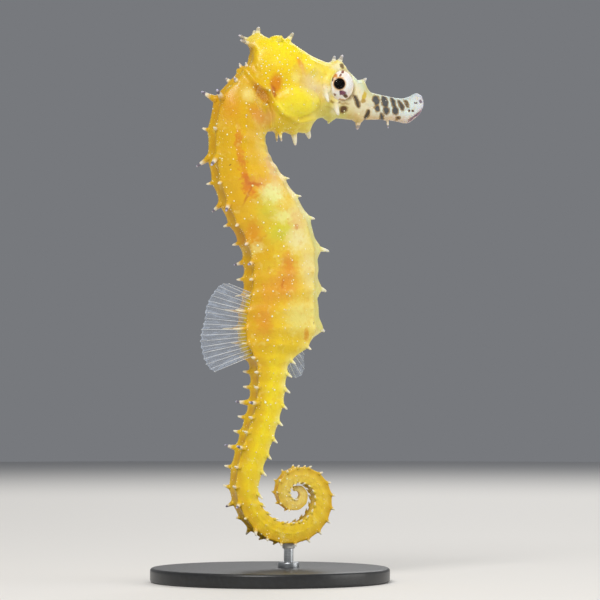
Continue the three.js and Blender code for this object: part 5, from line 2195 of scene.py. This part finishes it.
@dataclass
class Studio:
    """Pale floor, soft lights and the camera. Its sizes are in metres."""

    target: Point = (0.0047, -0.00171, 0.047)
    azimuth: float = -20.0
    distance: float = 0.8
    frame_width: float = 0.1
    sensor: float = 36.0
    floor_radius: float = 0.6
    floor_colour: str = "e9e7e4"
    backdrop: str = "77797d"
    sky: float = 0.3
    lights: tuple[SoftLight, ...] = (
        SoftLight("key", (-0.3, -0.4, 0.55), 0.3, 3.6, (1.0, 0.98, 0.95)),
        SoftLight("fill", (0.55, -0.3, 0.15), 0.5, 1.7, (1.0, 0.99, 0.96)),
        SoftLight("back", (0.3, 0.45, 0.4), 0.4, 1.1),
    )

    def build_camera(self) -> None:
        """Makes the scene's camera."""
        data = bpy.data.cameras.new("camera")
        data.sensor_width = self.sensor
        data.lens = self.sensor * self.distance / self.frame_width
        data.clip_start = 0.01
        camera = linked("camera", data)
        angle = math.radians(self.azimuth)
        back = Vector((math.sin(angle), -math.cos(angle), 0.0))
        camera.location = Vector(self.target) + back * self.distance
        camera.rotation_euler = (-back).to_track_quat("-Z", "Y").to_euler()
        bpy.context.scene.camera = camera

    def build_lights(self) -> None:
        """Makes the lights, which all face the animal."""
        for light in self.lights:
            data = bpy.data.lights.new(light.name, "AREA")
            data.size = light.side
            data.energy = light.power
            data.color = light.colour
            lamp = linked(light.name, data)
            lamp.location = light.at
            way = Vector(self.target) - Vector(light.at)
            lamp.rotation_euler = way.to_track_quat("-Z", "Y").to_euler()

    def build_world(self) -> None:
        """Makes an even surround, which the camera sees as a mid grey backdrop."""
        world = bpy.data.worlds.new("studio")
        world.use_nodes = True
        bpy.context.scene.world = world
        graph = Graph(world.node_tree)
        even = world.node_tree.nodes["Background"]
        even.inputs["Color"].default_value = (1.0, 1.0, 1.0, 1.0)
        even.inputs["Strength"].default_value = self.sky
        seen = graph.add("ShaderNodeBackground", {"Color": rgb(self.backdrop), "Strength": 1.0})
        path = graph.add("ShaderNodeLightPath").outputs["Is Camera Ray"]
        both = graph.add("ShaderNodeMixShader", {0: path, 1: even.outputs[0], 2: seen.outputs[0]})
        output = world.node_tree.nodes["World Output"]
        world.node_tree.links.new(both.outputs[0], output.inputs["Surface"])

    def build_floor(self) -> None:
        """Makes the round floor, pale in the middle and darkened by painted falloff of light to the
        backdrop's grey at its edge.
        """
        material, graph, shader = new_material("floor")
        place = graph.add("ShaderNodeTexCoord").outputs["Object"]
        away = graph.vector("LENGTH", place)
        # Painted falloff: the floor greys towards its edge to meet the backdrop.
        colour = graph.mix(
            graph.rise(away, 0.33, self.floor_radius), rgb(self.floor_colour), rgb(self.backdrop)
        )
        connect(graph, shader, Base_Color=colour, Roughness=0.7, Specular_IOR_Level=0.2)
        angles = np.arange(96) * TURN / 96
        rim = np.stack([np.cos(angles), np.sin(angles), 0 * angles], axis=-1) * self.floor_radius / MM
        floor = new_object("floor", rim, [list(range(len(rim)))], material)

    def build(self) -> None:
        """Makes the whole studio, whose colours are shown as they are."""
        bpy.context.scene.view_settings.view_transform = "Standard"
        for part in (self.build_camera, self.build_lights, self.build_world, self.build_floor):
            part()


FLESH = ["snout", "head", "coronet", "neck", "trunk", *(f"tail_{k}" for k in range(1, 11))]


def main() -> None:
    """Builds the studio, the animal and its stand."""
    logging.basicConfig(level=logging.INFO, format="%(name)s: %(message)s")
    Studio().build()

    skin_finish = SkinFinish().build()
    wart_finish = PlainFinish("warts", "fbf7dc", "f6eda6", 0.4, subsurface=0.2).build()
    ray_finish = PlainFinish("fin_rays", "eef1f2", "d6dbe0", 0.35).build()
    membrane = MembraneFinish().build()

    form = Skin()
    skin = form.build(skin_finish)
    warts = Warts().build(skin, wart_finish)
    thorns = Thorns().build(form, skin_finish)
    for piece in (skin, thorns, warts, Dots().build(form, wart_finish)):
        settle(piece, "skin", *FLESH)

    Eyes().build(IrisFinish().build(), CorneaFinish().build())
    DORSAL_FIN.build(membrane, ray_finish)
    ANAL_FIN.build(membrane, ray_finish)
    PectoralFin().build(
        MembraneFinish("pectoral_membrane", "e9d9a0", "e0a820", 0.03, 0.12, 0.08).build(),
        PlainFinish("pectoral_rays", "e0aa28", "d89c1c", 0.4, subsurface=0.2).build(),
    )
    Stand().build(
        PlainFinish("black_lacquer", "17181a", "1f2124", 0.42, grain=9.0, depth=0.01, coat=0.2).build(),
        PlainFinish(
            "brushed_steel", "b9bdc1", "a4a8ad", 0.32, metallic=1.0, grain=6.0, depth=0.01,
            stretch=(1.0, 1.0, 12.0),
        ).build(),
        PlainFinish("clear_rubber", "d8d6cf", "c6c4bd", 0.5, grain=4.0).build(),
    )


if __name__ == "__main__":
    main()
